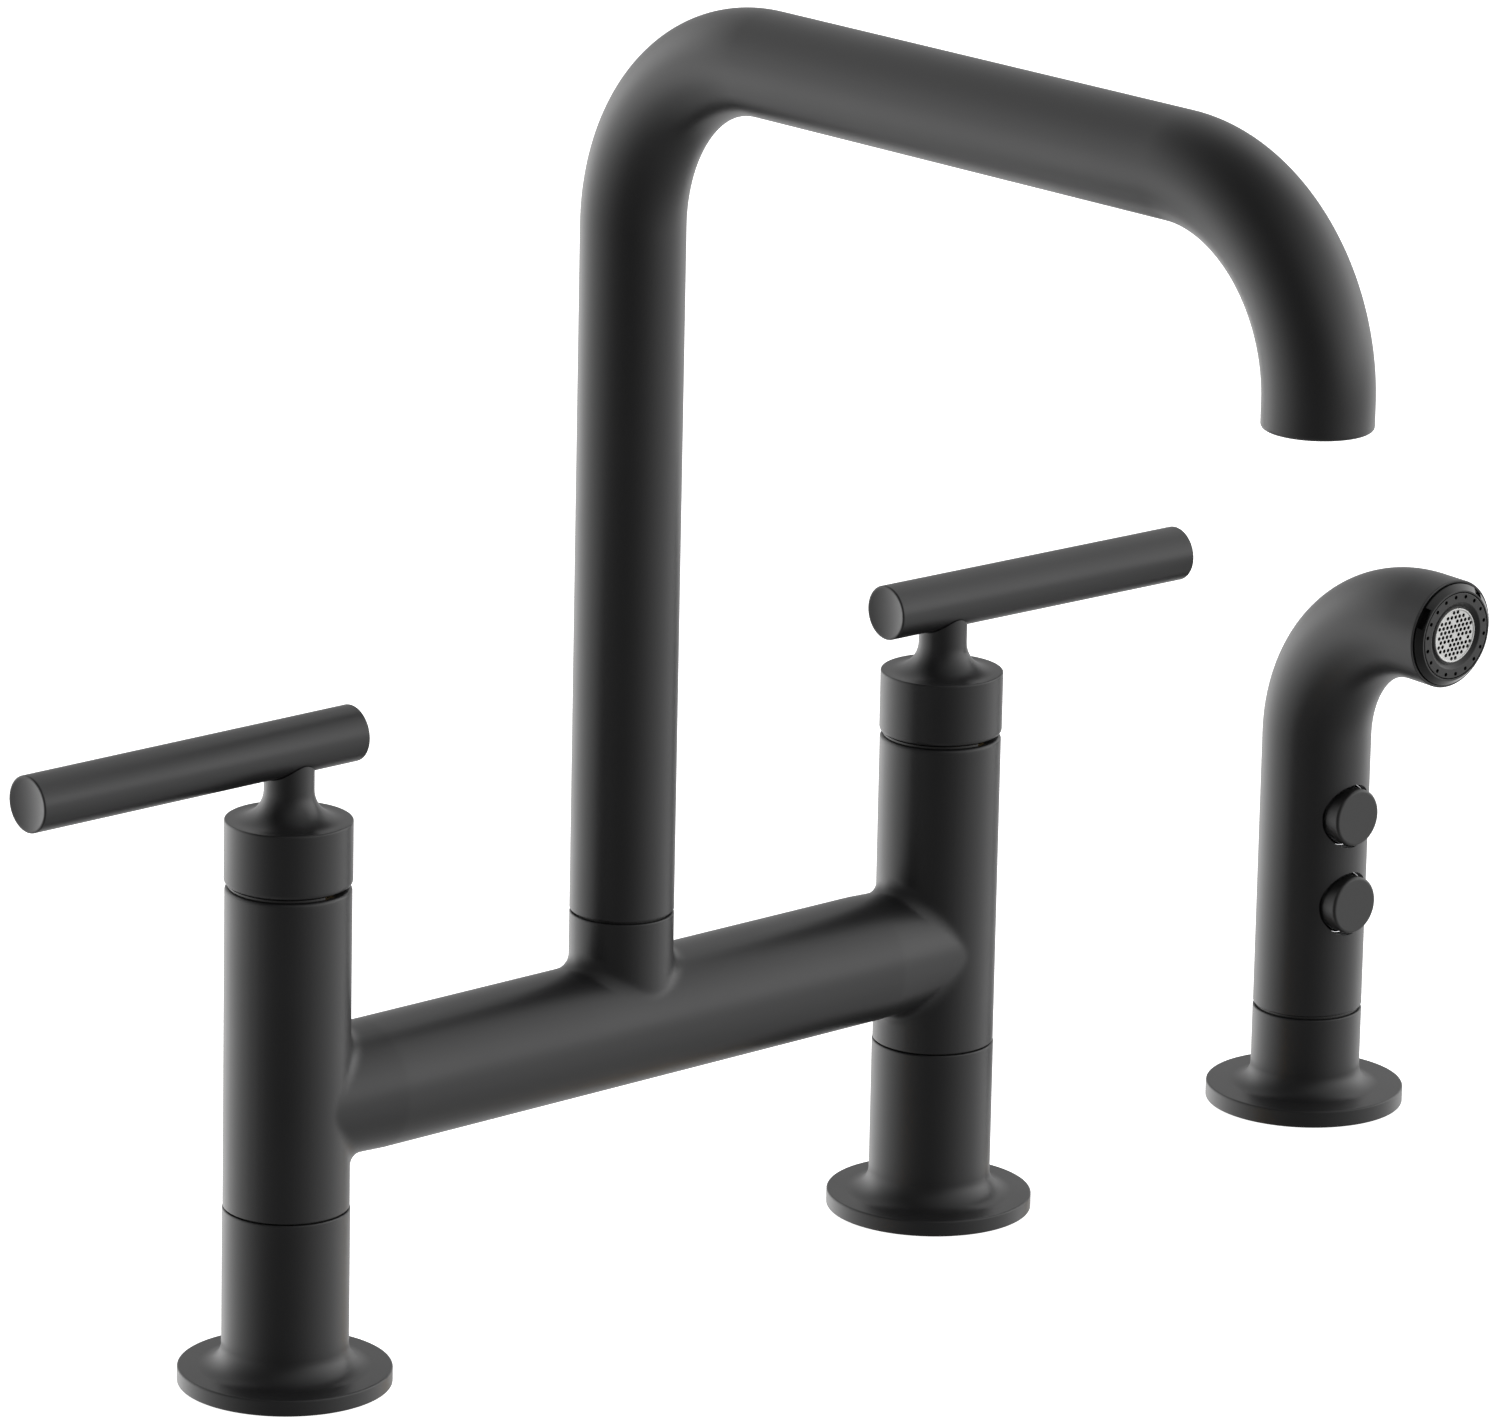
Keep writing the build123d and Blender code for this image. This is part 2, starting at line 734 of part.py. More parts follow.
with BuildPart() as spout_slip_ring:
    slip_outer = spout_radius - seam_chamfer
    extrude(
        ring_face(socket_top, middle, slip_outer, slip_outer - slip_ring_width),
        amount=slip_ring_thickness,
    )
save(spout_slip_ring, "spout_slip_ring")

with BuildPart() as spout_lock_screw:
    with BuildSketch(Plane.XZ.offset(-(nipple_radius - lock_groove_depth))):
        with Locations((0, socket_top - lock_screw_drop)):
            Circle(lock_screw_radius)
    extrude(amount=-(socket_radius - nipple_radius + lock_groove_depth - seam_chamfer))
    with BuildSketch(Plane.XZ.offset(-(socket_radius - seam_chamfer))):
        with Locations((0, socket_top - lock_screw_drop)):
            RegularPolygon(lock_screw_radius / 2, 6)
    extrude(amount=lock_groove_depth, mode=Mode.SUBTRACT)
save(spout_lock_screw, "spout_lock_screw")

# ---------------------------------------------------------------- outlet fittings
aerator_bottom = outlet_height + aerator_recess
aerator_outer = aerator_seat - running
aerator_inner = aerator_outer - aerator_wall
with BuildPart() as aerator_housing:
    extrude(
        ring_face(aerator_bottom, outlet_centre, aerator_outer, aerator_inner), amount=aerator_length
    )
save(aerator_housing, "aerator_housing")

with BuildPart() as aerator_insert:
    insert_bottom = aerator_bottom + aerator_plate
    extrude(
        ring_face(insert_bottom, outlet_centre, aerator_inner - running),
        amount=aerator_length - aerator_plate,
    )
    with BuildSketch(Plane.XY.offset(insert_bottom)):
        with Locations((0, -spout_reach)):
            with PolarLocations(aerator_inner / 2, insert_holes):
                Circle(insert_hole)
    extrude(amount=aerator_length, mode=Mode.SUBTRACT)
save(aerator_insert, "aerator_insert")

with BuildPart() as aerator_screen:
    extrude(ring_face(aerator_bottom, outlet_centre, aerator_inner - running), amount=aerator_plate)
    with BuildSketch(Plane.XY.offset(aerator_bottom)):
        with Locations((0, -spout_reach)):
            with HexLocations(aerator_grid / 2, aerator_rows, aerator_rows, major_radius=False):
                Circle(aerator_hole)
        with Locations((0, -spout_reach)):
            Circle(aerator_inner - aerator_rim, mode=Mode.INTERSECT)
    extrude(amount=aerator_plate, mode=Mode.SUBTRACT)
save(aerator_screen, "aerator_screen")

with BuildPart() as aerator_gasket:
    extrude(
        ring_face(aerator_bottom + aerator_length, outlet_centre, aerator_outer, aerator_inner),
        amount=aerator_gasket_thickness,
    )
save(aerator_gasket, "aerator_gasket")

# ================================================================ diverter and spray feed
sleeve_bore = diverter_radius - diverter_wall
spool_bottom = diverter_bottom + diverter_floor + face_gap
sleeve_top = socket_top - nipple_drop - diverter_gap
with BuildPart() as diverter_sleeve:
    extrude(ring_face(diverter_bottom, middle, diverter_radius), amount=sleeve_top - diverter_bottom)
    for bottom, top, bore in (
        (diverter_bottom + diverter_floor, diverter_seat_height, sleeve_bore),
        (diverter_seat_height, sleeve_top - top_ring_thickness, sleeve_bore - diverter_seat_step),
        (sleeve_top - top_ring_thickness, sleeve_top, spring_ring),
    ):
        extrude(ring_face(bottom, middle, bore), amount=top - bottom, mode=Mode.SUBTRACT)
    # windows to the bridge on both sides, port for the feed tube on the cold side
    with BuildSketch(Plane.YZ.offset(-diverter_radius)):
        with Locations((0, diverter_seat_height - diverter_window_height / 2)):
            Rectangle(diverter_window_width, diverter_window_height)
    extrude(amount=2 * diverter_radius, mode=Mode.SUBTRACT)
    with BuildSketch(Plane.YZ):
        with Locations((0, feed_height)):
            Circle(feed_radius + running)
    extrude(amount=diverter_radius, mode=Mode.SUBTRACT)
save(diverter_sleeve, "diverter_sleeve")

with BuildPart() as diverter_spool:
    spool_radius = sleeve_bore - running
    extrude(ring_face(spool_bottom, middle, spool_radius), amount=spool_height)
    extrude(
        ring_face(spool_bottom, middle, spool_radius - spool_wall),
        amount=spool_height - spool_crown,
        mode=Mode.SUBTRACT,
    )
    with BuildSketch(Plane.YZ.offset(-spool_radius)):
        with Locations((0, spool_bottom + spool_height - spool_crown - spool_window / 2)):
            Rectangle(spool_window, spool_window)
    extrude(amount=2 * spool_radius, mode=Mode.SUBTRACT)
save(diverter_spool, "diverter_spool")

with BuildPart() as diverter_spring:
    coil_bottom = spool_bottom + spool_height + diverter_spring_wire
    coil_height = sleeve_top - top_ring_thickness - diverter_spring_wire - coil_bottom
    coil_radius = sleeve_bore - diverter_seat_step - moving_gap - diverter_spring_wire
    with BuildLine() as coil:
        Helix(coil_height / diverter_spring_turns, coil_height, coil_radius, center=(0, 0, coil_bottom))
    with BuildSketch(Plane(origin=coil.line @ 0, z_dir=coil.line % 0)):
        Circle(diverter_spring_wire)
    sweep(path=coil.wire(), is_frenet=True)
save(diverter_spring, "diverter_spring")

tee_top = tee_lap - shank_depth
tee_bottom = tee_top - tee_length
outlet_bottom = tee_bottom - relief_width - spray_thread_length
feed_drop_x = half_spacing - feed_offset
feed_shank_x = half_spacing - feed_inset
with BuildPart() as spray_feed_tube:
    with BuildLine() as feed_path:
        FilletPolyline(
            (sleeve_bore + moving_gap, 0, feed_height),
            (feed_drop_x, 0, feed_height),
            (feed_drop_x, 0, jog_top),
            (feed_shank_x, 0, jog_bottom),
            (feed_shank_x, 0, outlet_bottom + feed_end),
            radius=feed_bend,
        )
    with BuildSketch(Plane.YZ.offset(sleeve_bore + moving_gap)):
        with Locations((0, feed_height)):
            Circle(feed_radius)
            Circle(feed_radius - feed_wall, mode=Mode.SUBTRACT)
    sweep(path=feed_path.wire())
save(spray_feed_tube, "spray_feed_tube")

with BuildPart() as supply_tee:
    feed_centre = [(feed_shank_x, 0)]
    branch_height = tee_bottom + branch_rise
    extrude(ring_face(tee_bottom, cold_centre, tee_radius), amount=tee_length)
    # branch for the cold supply, towards the wall: shoulder, run-out groove, thread
    for start, length, radius in (
        (0, branch_root, shank_radius),
        (branch_root, relief_width, shank_radius - relief_depth),
        (branch_root + relief_width, tee_thread, shank_radius),
    ):
        with BuildSketch(Plane.XZ.offset(-start)):
            with Locations((half_spacing, branch_height)):
                Circle(radius)
        extrude(amount=-length)
    # outlet for the spray hose, in line with the feed tube
    extrude(
        ring_face(tee_bottom, feed_centre, spray_thread_radius - relief_depth), amount=-relief_width
    )
    extrude(
        ring_face(tee_bottom - relief_width, feed_centre, spray_thread_radius),
        amount=-spray_thread_length,
    )
    extrude(
        ring_face(-shank_depth, cold_centre, shank_radius + thread_gap),
        amount=tee_lap,
        mode=Mode.SUBTRACT,
    )
    extrude(
        ring_face(tee_bottom + tee_floor, cold_centre, shank_bore),
        amount=tee_length - tee_lap - tee_floor,
        mode=Mode.SUBTRACT,
    )
    with BuildSketch(Plane.XZ):
        with Locations((half_spacing, branch_height)):
            Circle(shank_bore - relief_depth)
    extrude(amount=-(branch_root + relief_width + tee_thread), mode=Mode.SUBTRACT)
    extrude(
        ring_face(outlet_bottom, feed_centre, feed_radius + assembly_gap),
        amount=tee_bottom + tee_floor - outlet_bottom,
        mode=Mode.SUBTRACT,
    )
save(supply_tee, "supply_tee")

# ================================================================ spray holder
with BuildPart() as spray_holder:
    extrude(ring_face(0, spray_centre, holder_flange_radius), amount=holder_flange_thickness)
    extrude(ring_face(0, spray_centre, holder_radius), amount=holder_top)
    fillet(rims(spray_holder, holder_radius, holder_flange_thickness), radius=holder_blend)
    fillet(rims(spray_holder, holder_flange_radius, holder_flange_thickness), radius=flange_edge)
    chamfer(rims(spray_holder, holder_radius, holder_top), length=seam_chamfer)
    extrude(
        ring_face(0, spray_centre, guide_radius + assembly_gap), amount=holder_top, mode=Mode.SUBTRACT
    )
    extrude(
        ring_face(0, spray_centre, gasket_outer + assembly_gap),
        amount=gasket_thickness,
        mode=Mode.SUBTRACT,
    )
save(spray_holder, "spray_holder")

with BuildPart() as spray_guide:
    extrude(ring_face(-guide_depth, spray_centre, guide_radius), amount=guide_depth + holder_top)
    extrude(ring_face(holder_top, spray_centre, holder_radius - guide_lip_inset), amount=guide_lip)
    extrude(
        ring_face(-guide_depth, spray_centre, guide_bore),
        amount=guide_depth + holder_top + guide_lip,
        mode=Mode.SUBTRACT,
    )
    chamfer(rims(spray_guide, guide_bore, holder_top + guide_lip), length=seam_chamfer)
save(spray_guide, "spray_guide")

with BuildPart() as spray_gasket:
    extrude(
        ring_face(0, spray_centre, gasket_outer, guide_radius + assembly_gap), amount=gasket_thickness
    )
save(spray_gasket, "spray_gasket")

with BuildPart() as spray_washer:
    extrude(
        ring_face(-deck_thickness, spray_centre, washer_outer, guide_radius + assembly_gap),
        amount=-washer_thickness,
    )
save(spray_washer, "spray_washer")

with BuildPart() as spray_nut:
    extrude(
        hex_face(nut_top, spray_centre, nut_flats, guide_radius + thread_gap), amount=-nut_height
    )
save(spray_nut, "spray_nut")

# ================================================================ spray handset
shell_bore = spray_radius - spray_wall
foot_top = spray_bottom + spray_lip
spray_bend_start = spray_bottom + spray_straight
with BuildPart() as spray_hose_coupling:
    skirt_bottom = spray_bottom - coupling_skirt
    extrude(
        ring_face(skirt_bottom, spray_centre, coupling_radius),
        amount=foot_top + face_gap - skirt_bottom,
    )
    extrude(
        ring_face(foot_top + face_gap, spray_centre, shell_bore - moving_gap), amount=coupling_head
    )
    extrude(ring_face(skirt_bottom, spray_centre, spray_thread_radius), amount=-coupling_tail)
    extrude(
        ring_face(skirt_bottom - coupling_tail, spray_centre, coupling_bore),
        amount=coupling_tail + coupling_skirt + spray_lip + face_gap + coupling_head,
        mode=Mode.SUBTRACT,
    )
save(spray_hose_coupling, "spray_hose_coupling")

# side view of the handset: local x forwards, local y up, from the foot of its axis
spray_side = Plane(origin=(spray_x, spray_y, 0), x_dir=(0, -1, 0), z_dir=(-1, 0, 0))
bend = radians(spray_bend_angle)
reach = spray_bend * tan(bend / 2)
corner = (0, spray_bend_start + reach)
nose = (
    corner[0] + (reach + spray_nose) * sin(bend),
    corner[1] + (reach + spray_nose) * cos(bend),
)
face_plane = Plane(
    origin=(spray_x, spray_y - nose[0], nose[1]), x_dir=(1, 0, 0), z_dir=(0, -sin(bend), cos(bend))
)
# round things on the front of the handset are drawn on this plane and run towards +Y
front = Plane(origin=(spray_x, spray_y, 0), x_dir=(1, 0, 0), z_dir=(0, -1, 0))
button_places = [(0, spray_bottom + rise) for rise in button_rises]
button_face = spray_radius + button_stand
button_pocket = button_back - button_travel - button_spring_room
pocket_radius = button_radius + moving_gap
ring_radius = pocket_radius + button_ring_wall
ring_front = (spray_radius**2 - ring_radius**2) ** 0.5 - button_ring_sink
ring_back = ring_front - button_ring_depth


def front_disc(start, places, outer, inner=0.0):
    """Round faces that look forwards, at that distance in front of the handset's axis."""
    with BuildSketch(front.offset(start)) as drawn:
        with Locations(*places):
            Circle(outer)
            if inner:
                Circle(inner, mode=Mode.SUBTRACT)
    return drawn.sketch


def face_disc(depth, outer, inner=0.0):
    """A round face across the nozzle's end, at that depth behind it."""
    with BuildSketch(face_plane.offset(-depth)) as drawn:
        Circle(outer)
        if inner:
            Circle(inner, mode=Mode.SUBTRACT)
    return drawn.sketch


with BuildPart() as spray_body:
    with BuildLine(spray_side) as spray_path:
        FilletPolyline((0, spray_bottom), corner, nose, radius=spray_bend)
    with BuildSketch(Plane(origin=(spray_x, spray_y, spray_bottom))):
        Circle(spray_radius)
        Circle(shell_bore, mode=Mode.SUBTRACT)
    sweep(path=spray_path.wire())
    extrude(
        ring_face(spray_bottom, spray_centre, spray_radius - spray_wall / 2, coupling_radius + moving_gap),
        amount=spray_lip,
    )
    chamfer(rims(spray_body, spray_radius, spray_bottom), length=seam_chamfer)
    extrude(face_disc(0, spray_radius - face_rim), amount=-face_counterbore, mode=Mode.SUBTRACT)
    extrude(
        front_disc(0, button_places, ring_radius + thread_gap), amount=spray_radius, mode=Mode.SUBTRACT
    )
save(spray_body, "spray_body")

with BuildPart() as spray_core:
    core_radius = shell_bore - assembly_gap
    core_bottom = foot_top + face_gap + coupling_head + moving_gap
    extrude(ring_face(core_bottom, spray_centre, core_radius), amount=spray_bend_start - core_bottom)
    extrude(
        ring_face(core_bottom, [(spray_x, spray_y + core_duct_offset)], core_duct),
        amount=spray_bend_start - core_bottom,
        mode=Mode.SUBTRACT,
    )
    for start, end, radius in (
        (button_pocket, spray_radius, pocket_radius),
        (ring_back - face_gap, spray_radius, ring_radius + thread_gap),
        (-core_duct_offset, button_pocket, button_stem + moving_gap),
    ):
        extrude(front_disc(start, button_places, radius), amount=end - start, mode=Mode.SUBTRACT)
save(spray_core, "spray_core")

with BuildPart() as button_rings:
    extrude(front_disc(ring_back, button_places, ring_radius, pocket_radius), amount=button_ring_depth)
save(button_rings, "button_rings")

for level, place in zip(("upper", "lower"), button_places):
    with BuildPart() as button:
        extrude(front_disc(button_back, [place], button_radius), amount=button_face - button_back)
        fillet(button.faces().sort_by(Axis.Y)[0].edges(), radius=button_edge)
        extrude(
            front_disc(button_pocket - button_stem_reach, [place], button_stem),
            amount=button_back - button_pocket + button_stem_reach,
        )
    save(button, f"{level}_button")

    with BuildPart() as button_spring:
        rest_length = button_back - button_pocket - 2 * button_spring_wire
        with BuildLine() as coil:
            Helix(
                rest_length / button_spring_turns,
                rest_length,
                button_spring_radius,
                center=(spray_x, spray_y - button_pocket - button_spring_wire, place[1]),
                direction=(0, -1, 0),
            )
        with BuildSketch(Plane(origin=coil.line @ 0, z_dir=coil.line % 0)):
            Circle(button_spring_wire)
        sweep(path=coil.wire(), is_frenet=True)
    save(button_spring, f"{level}_button_spring")

# ---------------------------------------------------------------- spray face
face_collar_outer = spray_radius - face_rim - thread_gap
face_collar_inner = face_collar_outer - face_collar_wall
face_outer = face_collar_inner - thread_gap
face_front = collar_stand + face_bevel
face_back = face_thickness - face_front
screen_back = screen_sink + screen_thickness - face_front


def foremost(piece):
    """The flat face of a piece that looks out of the nozzle's end."""
    return piece.faces().filter_by(GeomType.PLANE).sort_by(Axis.Y)[0]


with BuildPart() as face_collar:
    extrude(
        face_disc(face_counterbore, face_collar_outer, face_collar_inner),
        amount=face_counterbore + face_front,
    )
    chamfer(foremost(face_collar).outer_wire().edges(), length=face_bevel)
    with BuildSketch(face_plane.offset(face_front)):
        for angle, width in notches:
            with PolarLocations(face_collar_outer, 1, start_angle=angle):
                Rectangle(face_collar_wall, width)
    extrude(amount=-face_bevel - notch_depth, mode=Mode.SUBTRACT)
save(face_collar, "face_collar")

with BuildPart() as spray_face:
    extrude(face_disc(face_back, face_outer), amount=face_thickness)
    extrude(
        face_disc(face_back, screen_radius - screen_rim), amount=face_thickness, mode=Mode.SUBTRACT
    )
    extrude(
        face_disc(screen_back, screen_radius + running),
        amount=screen_thickness + screen_sink,
        mode=Mode.SUBTRACT,
    )
    chamfer(foremost(spray_face).inner_wires()[0].edges(), length=screen_well)
    with BuildSketch(face_plane.offset(-face_back)):
        with PolarLocations(face_outer - nozzle_inset, nozzle_count):
            Circle(nozzle_radius)
    extrude(amount=face_thickness, mode=Mode.SUBTRACT)
save(spray_face, "spray_face")

with BuildPart() as spray_screen:
    extrude(face_disc(screen_back, screen_radius), amount=screen_thickness)
    with BuildSketch(face_plane.offset(-screen_back)):
        with HexLocations(screen_grid / 2, screen_rows, screen_rows, major_radius=False):
            Circle(screen_hole)
        Circle(screen_radius - screen_rim, mode=Mode.INTERSECT)
    extrude(amount=screen_thickness, mode=Mode.SUBTRACT)
save(spray_screen, "spray_screen")

with BuildPart() as face_seal:
    extrude(
        face_disc(face_back + face_seal_thickness, face_outer, face_outer - face_seal_width),
        amount=face_seal_thickness,
    )
save(face_seal, "face_seal")
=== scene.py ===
"""Looks of the bridge kitchen faucet: finishes, detailed metalwork, floor, light and camera.

Metres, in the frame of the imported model: +X runs along the bridge to the cold post and the
side spray, the spout points to -Y at rest, +Z is up and z 0 is the deck's top.
"""

import json
import math

import bmesh
import bpy
from mathutils import Matrix, Vector


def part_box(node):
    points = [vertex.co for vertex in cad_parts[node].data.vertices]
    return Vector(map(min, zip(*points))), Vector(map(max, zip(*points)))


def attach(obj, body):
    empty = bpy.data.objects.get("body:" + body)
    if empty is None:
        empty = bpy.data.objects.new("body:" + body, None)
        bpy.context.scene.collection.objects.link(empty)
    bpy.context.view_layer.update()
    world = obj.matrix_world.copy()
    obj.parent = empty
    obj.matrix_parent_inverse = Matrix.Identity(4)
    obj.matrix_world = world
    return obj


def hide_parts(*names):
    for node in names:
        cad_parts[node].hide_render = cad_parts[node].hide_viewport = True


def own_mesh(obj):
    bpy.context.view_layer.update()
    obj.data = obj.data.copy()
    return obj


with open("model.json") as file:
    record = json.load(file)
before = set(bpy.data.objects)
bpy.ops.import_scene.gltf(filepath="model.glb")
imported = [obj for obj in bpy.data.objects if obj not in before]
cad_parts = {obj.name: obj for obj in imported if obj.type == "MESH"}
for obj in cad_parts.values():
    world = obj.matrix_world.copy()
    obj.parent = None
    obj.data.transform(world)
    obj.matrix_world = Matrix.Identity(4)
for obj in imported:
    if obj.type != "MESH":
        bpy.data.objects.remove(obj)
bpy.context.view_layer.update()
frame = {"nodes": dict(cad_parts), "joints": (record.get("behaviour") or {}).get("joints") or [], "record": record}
MM = 0.001
ACROSS = Vector((1, 0, 0))
FORWARD = Vector((0, -1, 0))
UP = Vector((0, 0, 1))

# -- camera, as solved from the photo
CAMERA_TURN = -42.079  # degrees, 0 looks along +Y
CAMERA_RISE = 16.057
CAMERA_ROLL = 1.176
CAMERA_DISTANCE = 2.390
CAMERA_RANGE = (0.05, 50.0)
CAMERA_TARGET = Vector((0.040026, 0.000588, 0.135975))
CAMERA_LENS = 241.68  # millimetres on a 36 mm wide sensor
SENSOR_WIDTH = 36.0

# -- sizes that the frame's boxes don't give
FLANGE_THICKNESS = 3.95 * MM
FLANGE_EDGE = 0.45 * MM
FOOT_EDGE = 0.4 * MM
BASE_RADIUS = 14.83 * MM
BASE_BLEND = 5.5 * MM
RISER_WALL = 2.4 * MM
HOLDER_RADIUS = 13.75 * MM
HOLDER_THICKNESS = 4.4 * MM
HOLDER_BLEND = 5.0 * MM
GASKET_RADIUS = 21.15 * MM
GASKET_THICKNESS = 1.5 * MM
SHANK_HOLE = 10.63 * MM
GUIDE_HOLE = 11.35 * MM
LIP = 0.35 * MM  # broken edge beside a seam
SEAM_SLOT = 0.12 * MM  # each side's share of the dark line between two pieces
SEAM_DEPTH = 0.9 * MM
FIT = 0.05 * MM  # between pieces that touch
FINE_EDGE = 0.12 * MM
DRILL_LENGTH = 20 * MM
SHARP = math.radians(32.0)  # edges sharper than this stay so
GUARD = 0.2 * MM  # point beside each end of a long straight run
ARC_STEP = 0.35 * MM

POST_RADIUS = 14.7 * MM
POST_EDGE = 0.8 * MM
POST_BLEND = 4.0 * MM
BRIDGE_RADIUS = 15.31 * MM
BRIDGE_HEIGHT = 67.56 * MM
BRIDGE_NECK = 14.35 * MM
BRIDGE_NECK_LENGTH = 24.0 * MM
SOCKET_RADIUS = 12.4 * MM
SPOUT_RADIUS = 12.39 * MM
SOCKET_TOP = 94.8 * MM
SOCKET_BLEND = 4.0 * MM
CASTING_GRID = 0.8 * MM
CASTING_MARGIN = 2 * MM  # skin drawn past the posts' ends, before they are cut
CASTING_STEP = 0.02 * MM  # for the slope of the distance
RIM_DEPTH = 1.5 * MM  # turned part at each open end
END_REACH = 22 * MM  # round an end, clear of the rest
SHANK_DEPTH = 14 * MM
NIPPLE_DEPTH = 16 * MM
DIVERTER_FLOOR = 60 * MM
BONNET_DEPTH = 17 * MM
CARTRIDGE_DEPTH = 40 * MM
NIPPLE_HOLE = 9.05 * MM
DIVERTER_HOLE = 6.75 * MM
BONNET_HOLE = 11.05 * MM
CARTRIDGE_HOLE = 8.15 * MM

GLIDE_RING_OUTER = 13.9 * MM
GLIDE_RING_INNER = 12.5 * MM
GLIDE_RING_SWEEP = (-30.0, 268.0)
GLIDE_RING_EDGE = 0.15 * MM
HUB_RADIUS = 14.85 * MM
HUB_TOP = 136.04 * MM
HUB_EDGE = 0.4 * MM
HUB_FOOT_EDGE = 1.1 * MM
HUB_CAVITY_RADIUS = 12.17 * MM
HUB_CAVITY = 6.0 * MM
NECK_RADIUS = 5.85 * MM
NECK_BLEND = 7.0 * MM
SPIGOT_RADIUS = 3.5 * MM
STEM_HOLE = 3.95 * MM
STEM_TOP = 133.0 * MM
STEM_ROOM = 0.3 * MM
NECK_EDGE = 0.3 * MM
NECK_LIP = 0.25 * MM
SPIGOT_LIP = 0.1 * MM
NECK_MARGIN = 0.01 * MM
SPIGOT_HOLE_ROOM = 0.15 * MM
SPIGOT_HOLE_DEPTH = 3.05 * MM  # past the bar's axis
SPIGOT_ROOM = 2 * MM
SCREW_HOLE = 2.05 * MM
LEVER_RADIUS = 6.65 * MM
LEVER_HEIGHT = 153.16 * MM
LEVER_INBOARD = 18.5 * MM
LEVER_OUTBOARD = 75.5 * MM
LEVER_EDGE = 0.35 * MM
DISH_DEPTH = 0.9 * MM
DISH_RIM = 0.55 * MM
COLD_LEVER_TURN = -1.8  # degrees

ARM_HEIGHT = 306.15 * MM
ARM_RISE = 0.55  # degrees
REAR_BEND = 46.1 * MM
FRONT_BEND = 44.2 * MM
OUTLET_HEIGHT = 258.097 * MM
OUTLET_EDGE = 0.9 * MM
SPOUT_BORE = 10.4 * MM
AERATOR_SEAT = 10.9 * MM
AERATOR_DEPTH = 13.5 * MM

SPRAY_RADIUS = 13.7 * MM
SPRAY_WALL = 1.8 * MM
SPRAY_FLOOR = 1.3 * MM
SPRAY_EDGE = 0.2 * MM
SPRAY_BEND_START = 96.2 * MM
SPRAY_BEND = 35.9 * MM
SPRAY_BEND_ANGLE = 91.4  # degrees
SPRAY_NOSE = 8.1 * MM
COUPLING_HOLE = 9.2 * MM
FACE_RIM = 0.75 * MM
COLLAR_OUTER = 12.9 * MM
COLLAR_INNER = 11.0 * MM
COLLAR_BACK = 5.0 * MM
COLLAR_STAND = 0.5 * MM  # collar's lip proud of the shell's rim
FACE_BEVEL = 1.4 * MM  # slope from that lip up to the nozzles' face
FACE_FRONT = COLLAR_STAND + FACE_BEVEL
COLLAR_NOTCHES = ((50.5, 2.8 * MM), (151.0, 5.4 * MM), (247.0, 2.8 * MM))  # degrees and width
COLLAR_EDGE = 0.1 * MM
COLLAR_BEVEL = 0.3 * MM
NOTCH_DEPTH = 0.9 * MM
NOTCH_REACH = 1.4 * MM  # inwards from the collar's side
FACE_OUTER = 10.95 * MM
FACE_GROOVE = 0.08 * MM  # parting line round the nozzles' face
FACE_GROOVE_DEPTH = 1.2 * MM
FACE_BACK = 3.75 * MM
NOZZLE_CIRCLE = 9.95 * MM
NOZZLE_HOLE = 0.5 * MM
NOZZLES = 18
NOZZLE_TURN = 14.0  # first nozzle, in degrees from +X
SCREEN_RADIUS = 6.9 * MM
SCREEN_RIM = 0.46 * MM
SCREEN_FIELD = 5.95 * MM  # farthest hole's centre from the screen's
SCREEN_SINK = 0.25 * MM  # rim below the nozzles' face
SCREEN_SEAT = 0.45 * MM  # proud of the shell's rim
SCREEN_SEAT_HOLE = 6.1 * MM
SCREEN_WELL_WIDTH = 1.6 * MM  # sloping hollow round the screen
SCREEN_WELL_DEPTH = 0.95 * MM
SCREEN_WELL_FLOOR = 0.4 * MM
WELL_EDGE = 0.4 * MM
WELL_CORNER = 0.3 * MM
SCREEN_EDGE = 0.15 * MM
SCREEN_STEP = 0.15 * MM  # pierced plate below its rim
SCREEN_PLATE = 0.22 * MM
SCREEN_PITCH = 1.36 * MM
SCREEN_HOLE = 0.5 * MM
CHROME_RING_OUTER = 8.1 * MM
CHROME_RING_INNER = 7.6 * MM
CHROME_EDGE = 0.1 * MM
CHROME_BEVEL = 0.3 * MM
SHANK_RADIUS = 10.48 * MM
SHANK_BORE = 7.8 * MM
GUIDE_RADIUS = 11.2 * MM
GUIDE_BORE = 9.2 * MM
GUIDE_EDGE = 0.2 * MM
GUIDE_MOUTH = 0.3 * MM
PIPE_PITCH = 1.814 * MM  # half-inch pipe thread
PIPE_DEPTH = 1.0 * MM
GUIDE_PITCH = 1.6 * MM
GUIDE_DEPTH = 0.8 * MM
NUT_FLATS = 30.0 * MM
SHANK_NUT_BORE = SHANK_RADIUS + FIT
GUIDE_NUT_BORE = GUIDE_RADIUS + FIT
BUTTON_RADIUS = 7.3 * MM
BUTTON_RECESS = 8.15 * MM
BUTTON_BACK = 8.0 * MM
BUTTON_FACE = 15.6 * MM
BUTTON_EDGE = 0.7 * MM
BUTTON_BACK_EDGE = 0.3 * MM
CLOUDS = (38.0, 3.0)  # scale and detail of the finish's noises
GRAIN = (3200.0, 2.0)
CLOUD_SHADES = (0.82, 1.18)
CLOUDS_IN_GLOSS = 0.10
GRAIN_HEIGHT = 0.01 * MM
GRAIN_STRENGTH = 0.6
DIVERTER_WIRE = 0.3 * MM
DIVERTER_TURNS = 4
BUTTON_WIRE = 0.35 * MM
BUTTON_TURNS = 3
SPRING_SLACK = 0.04 * MM  # between a spring's ends and what they press on
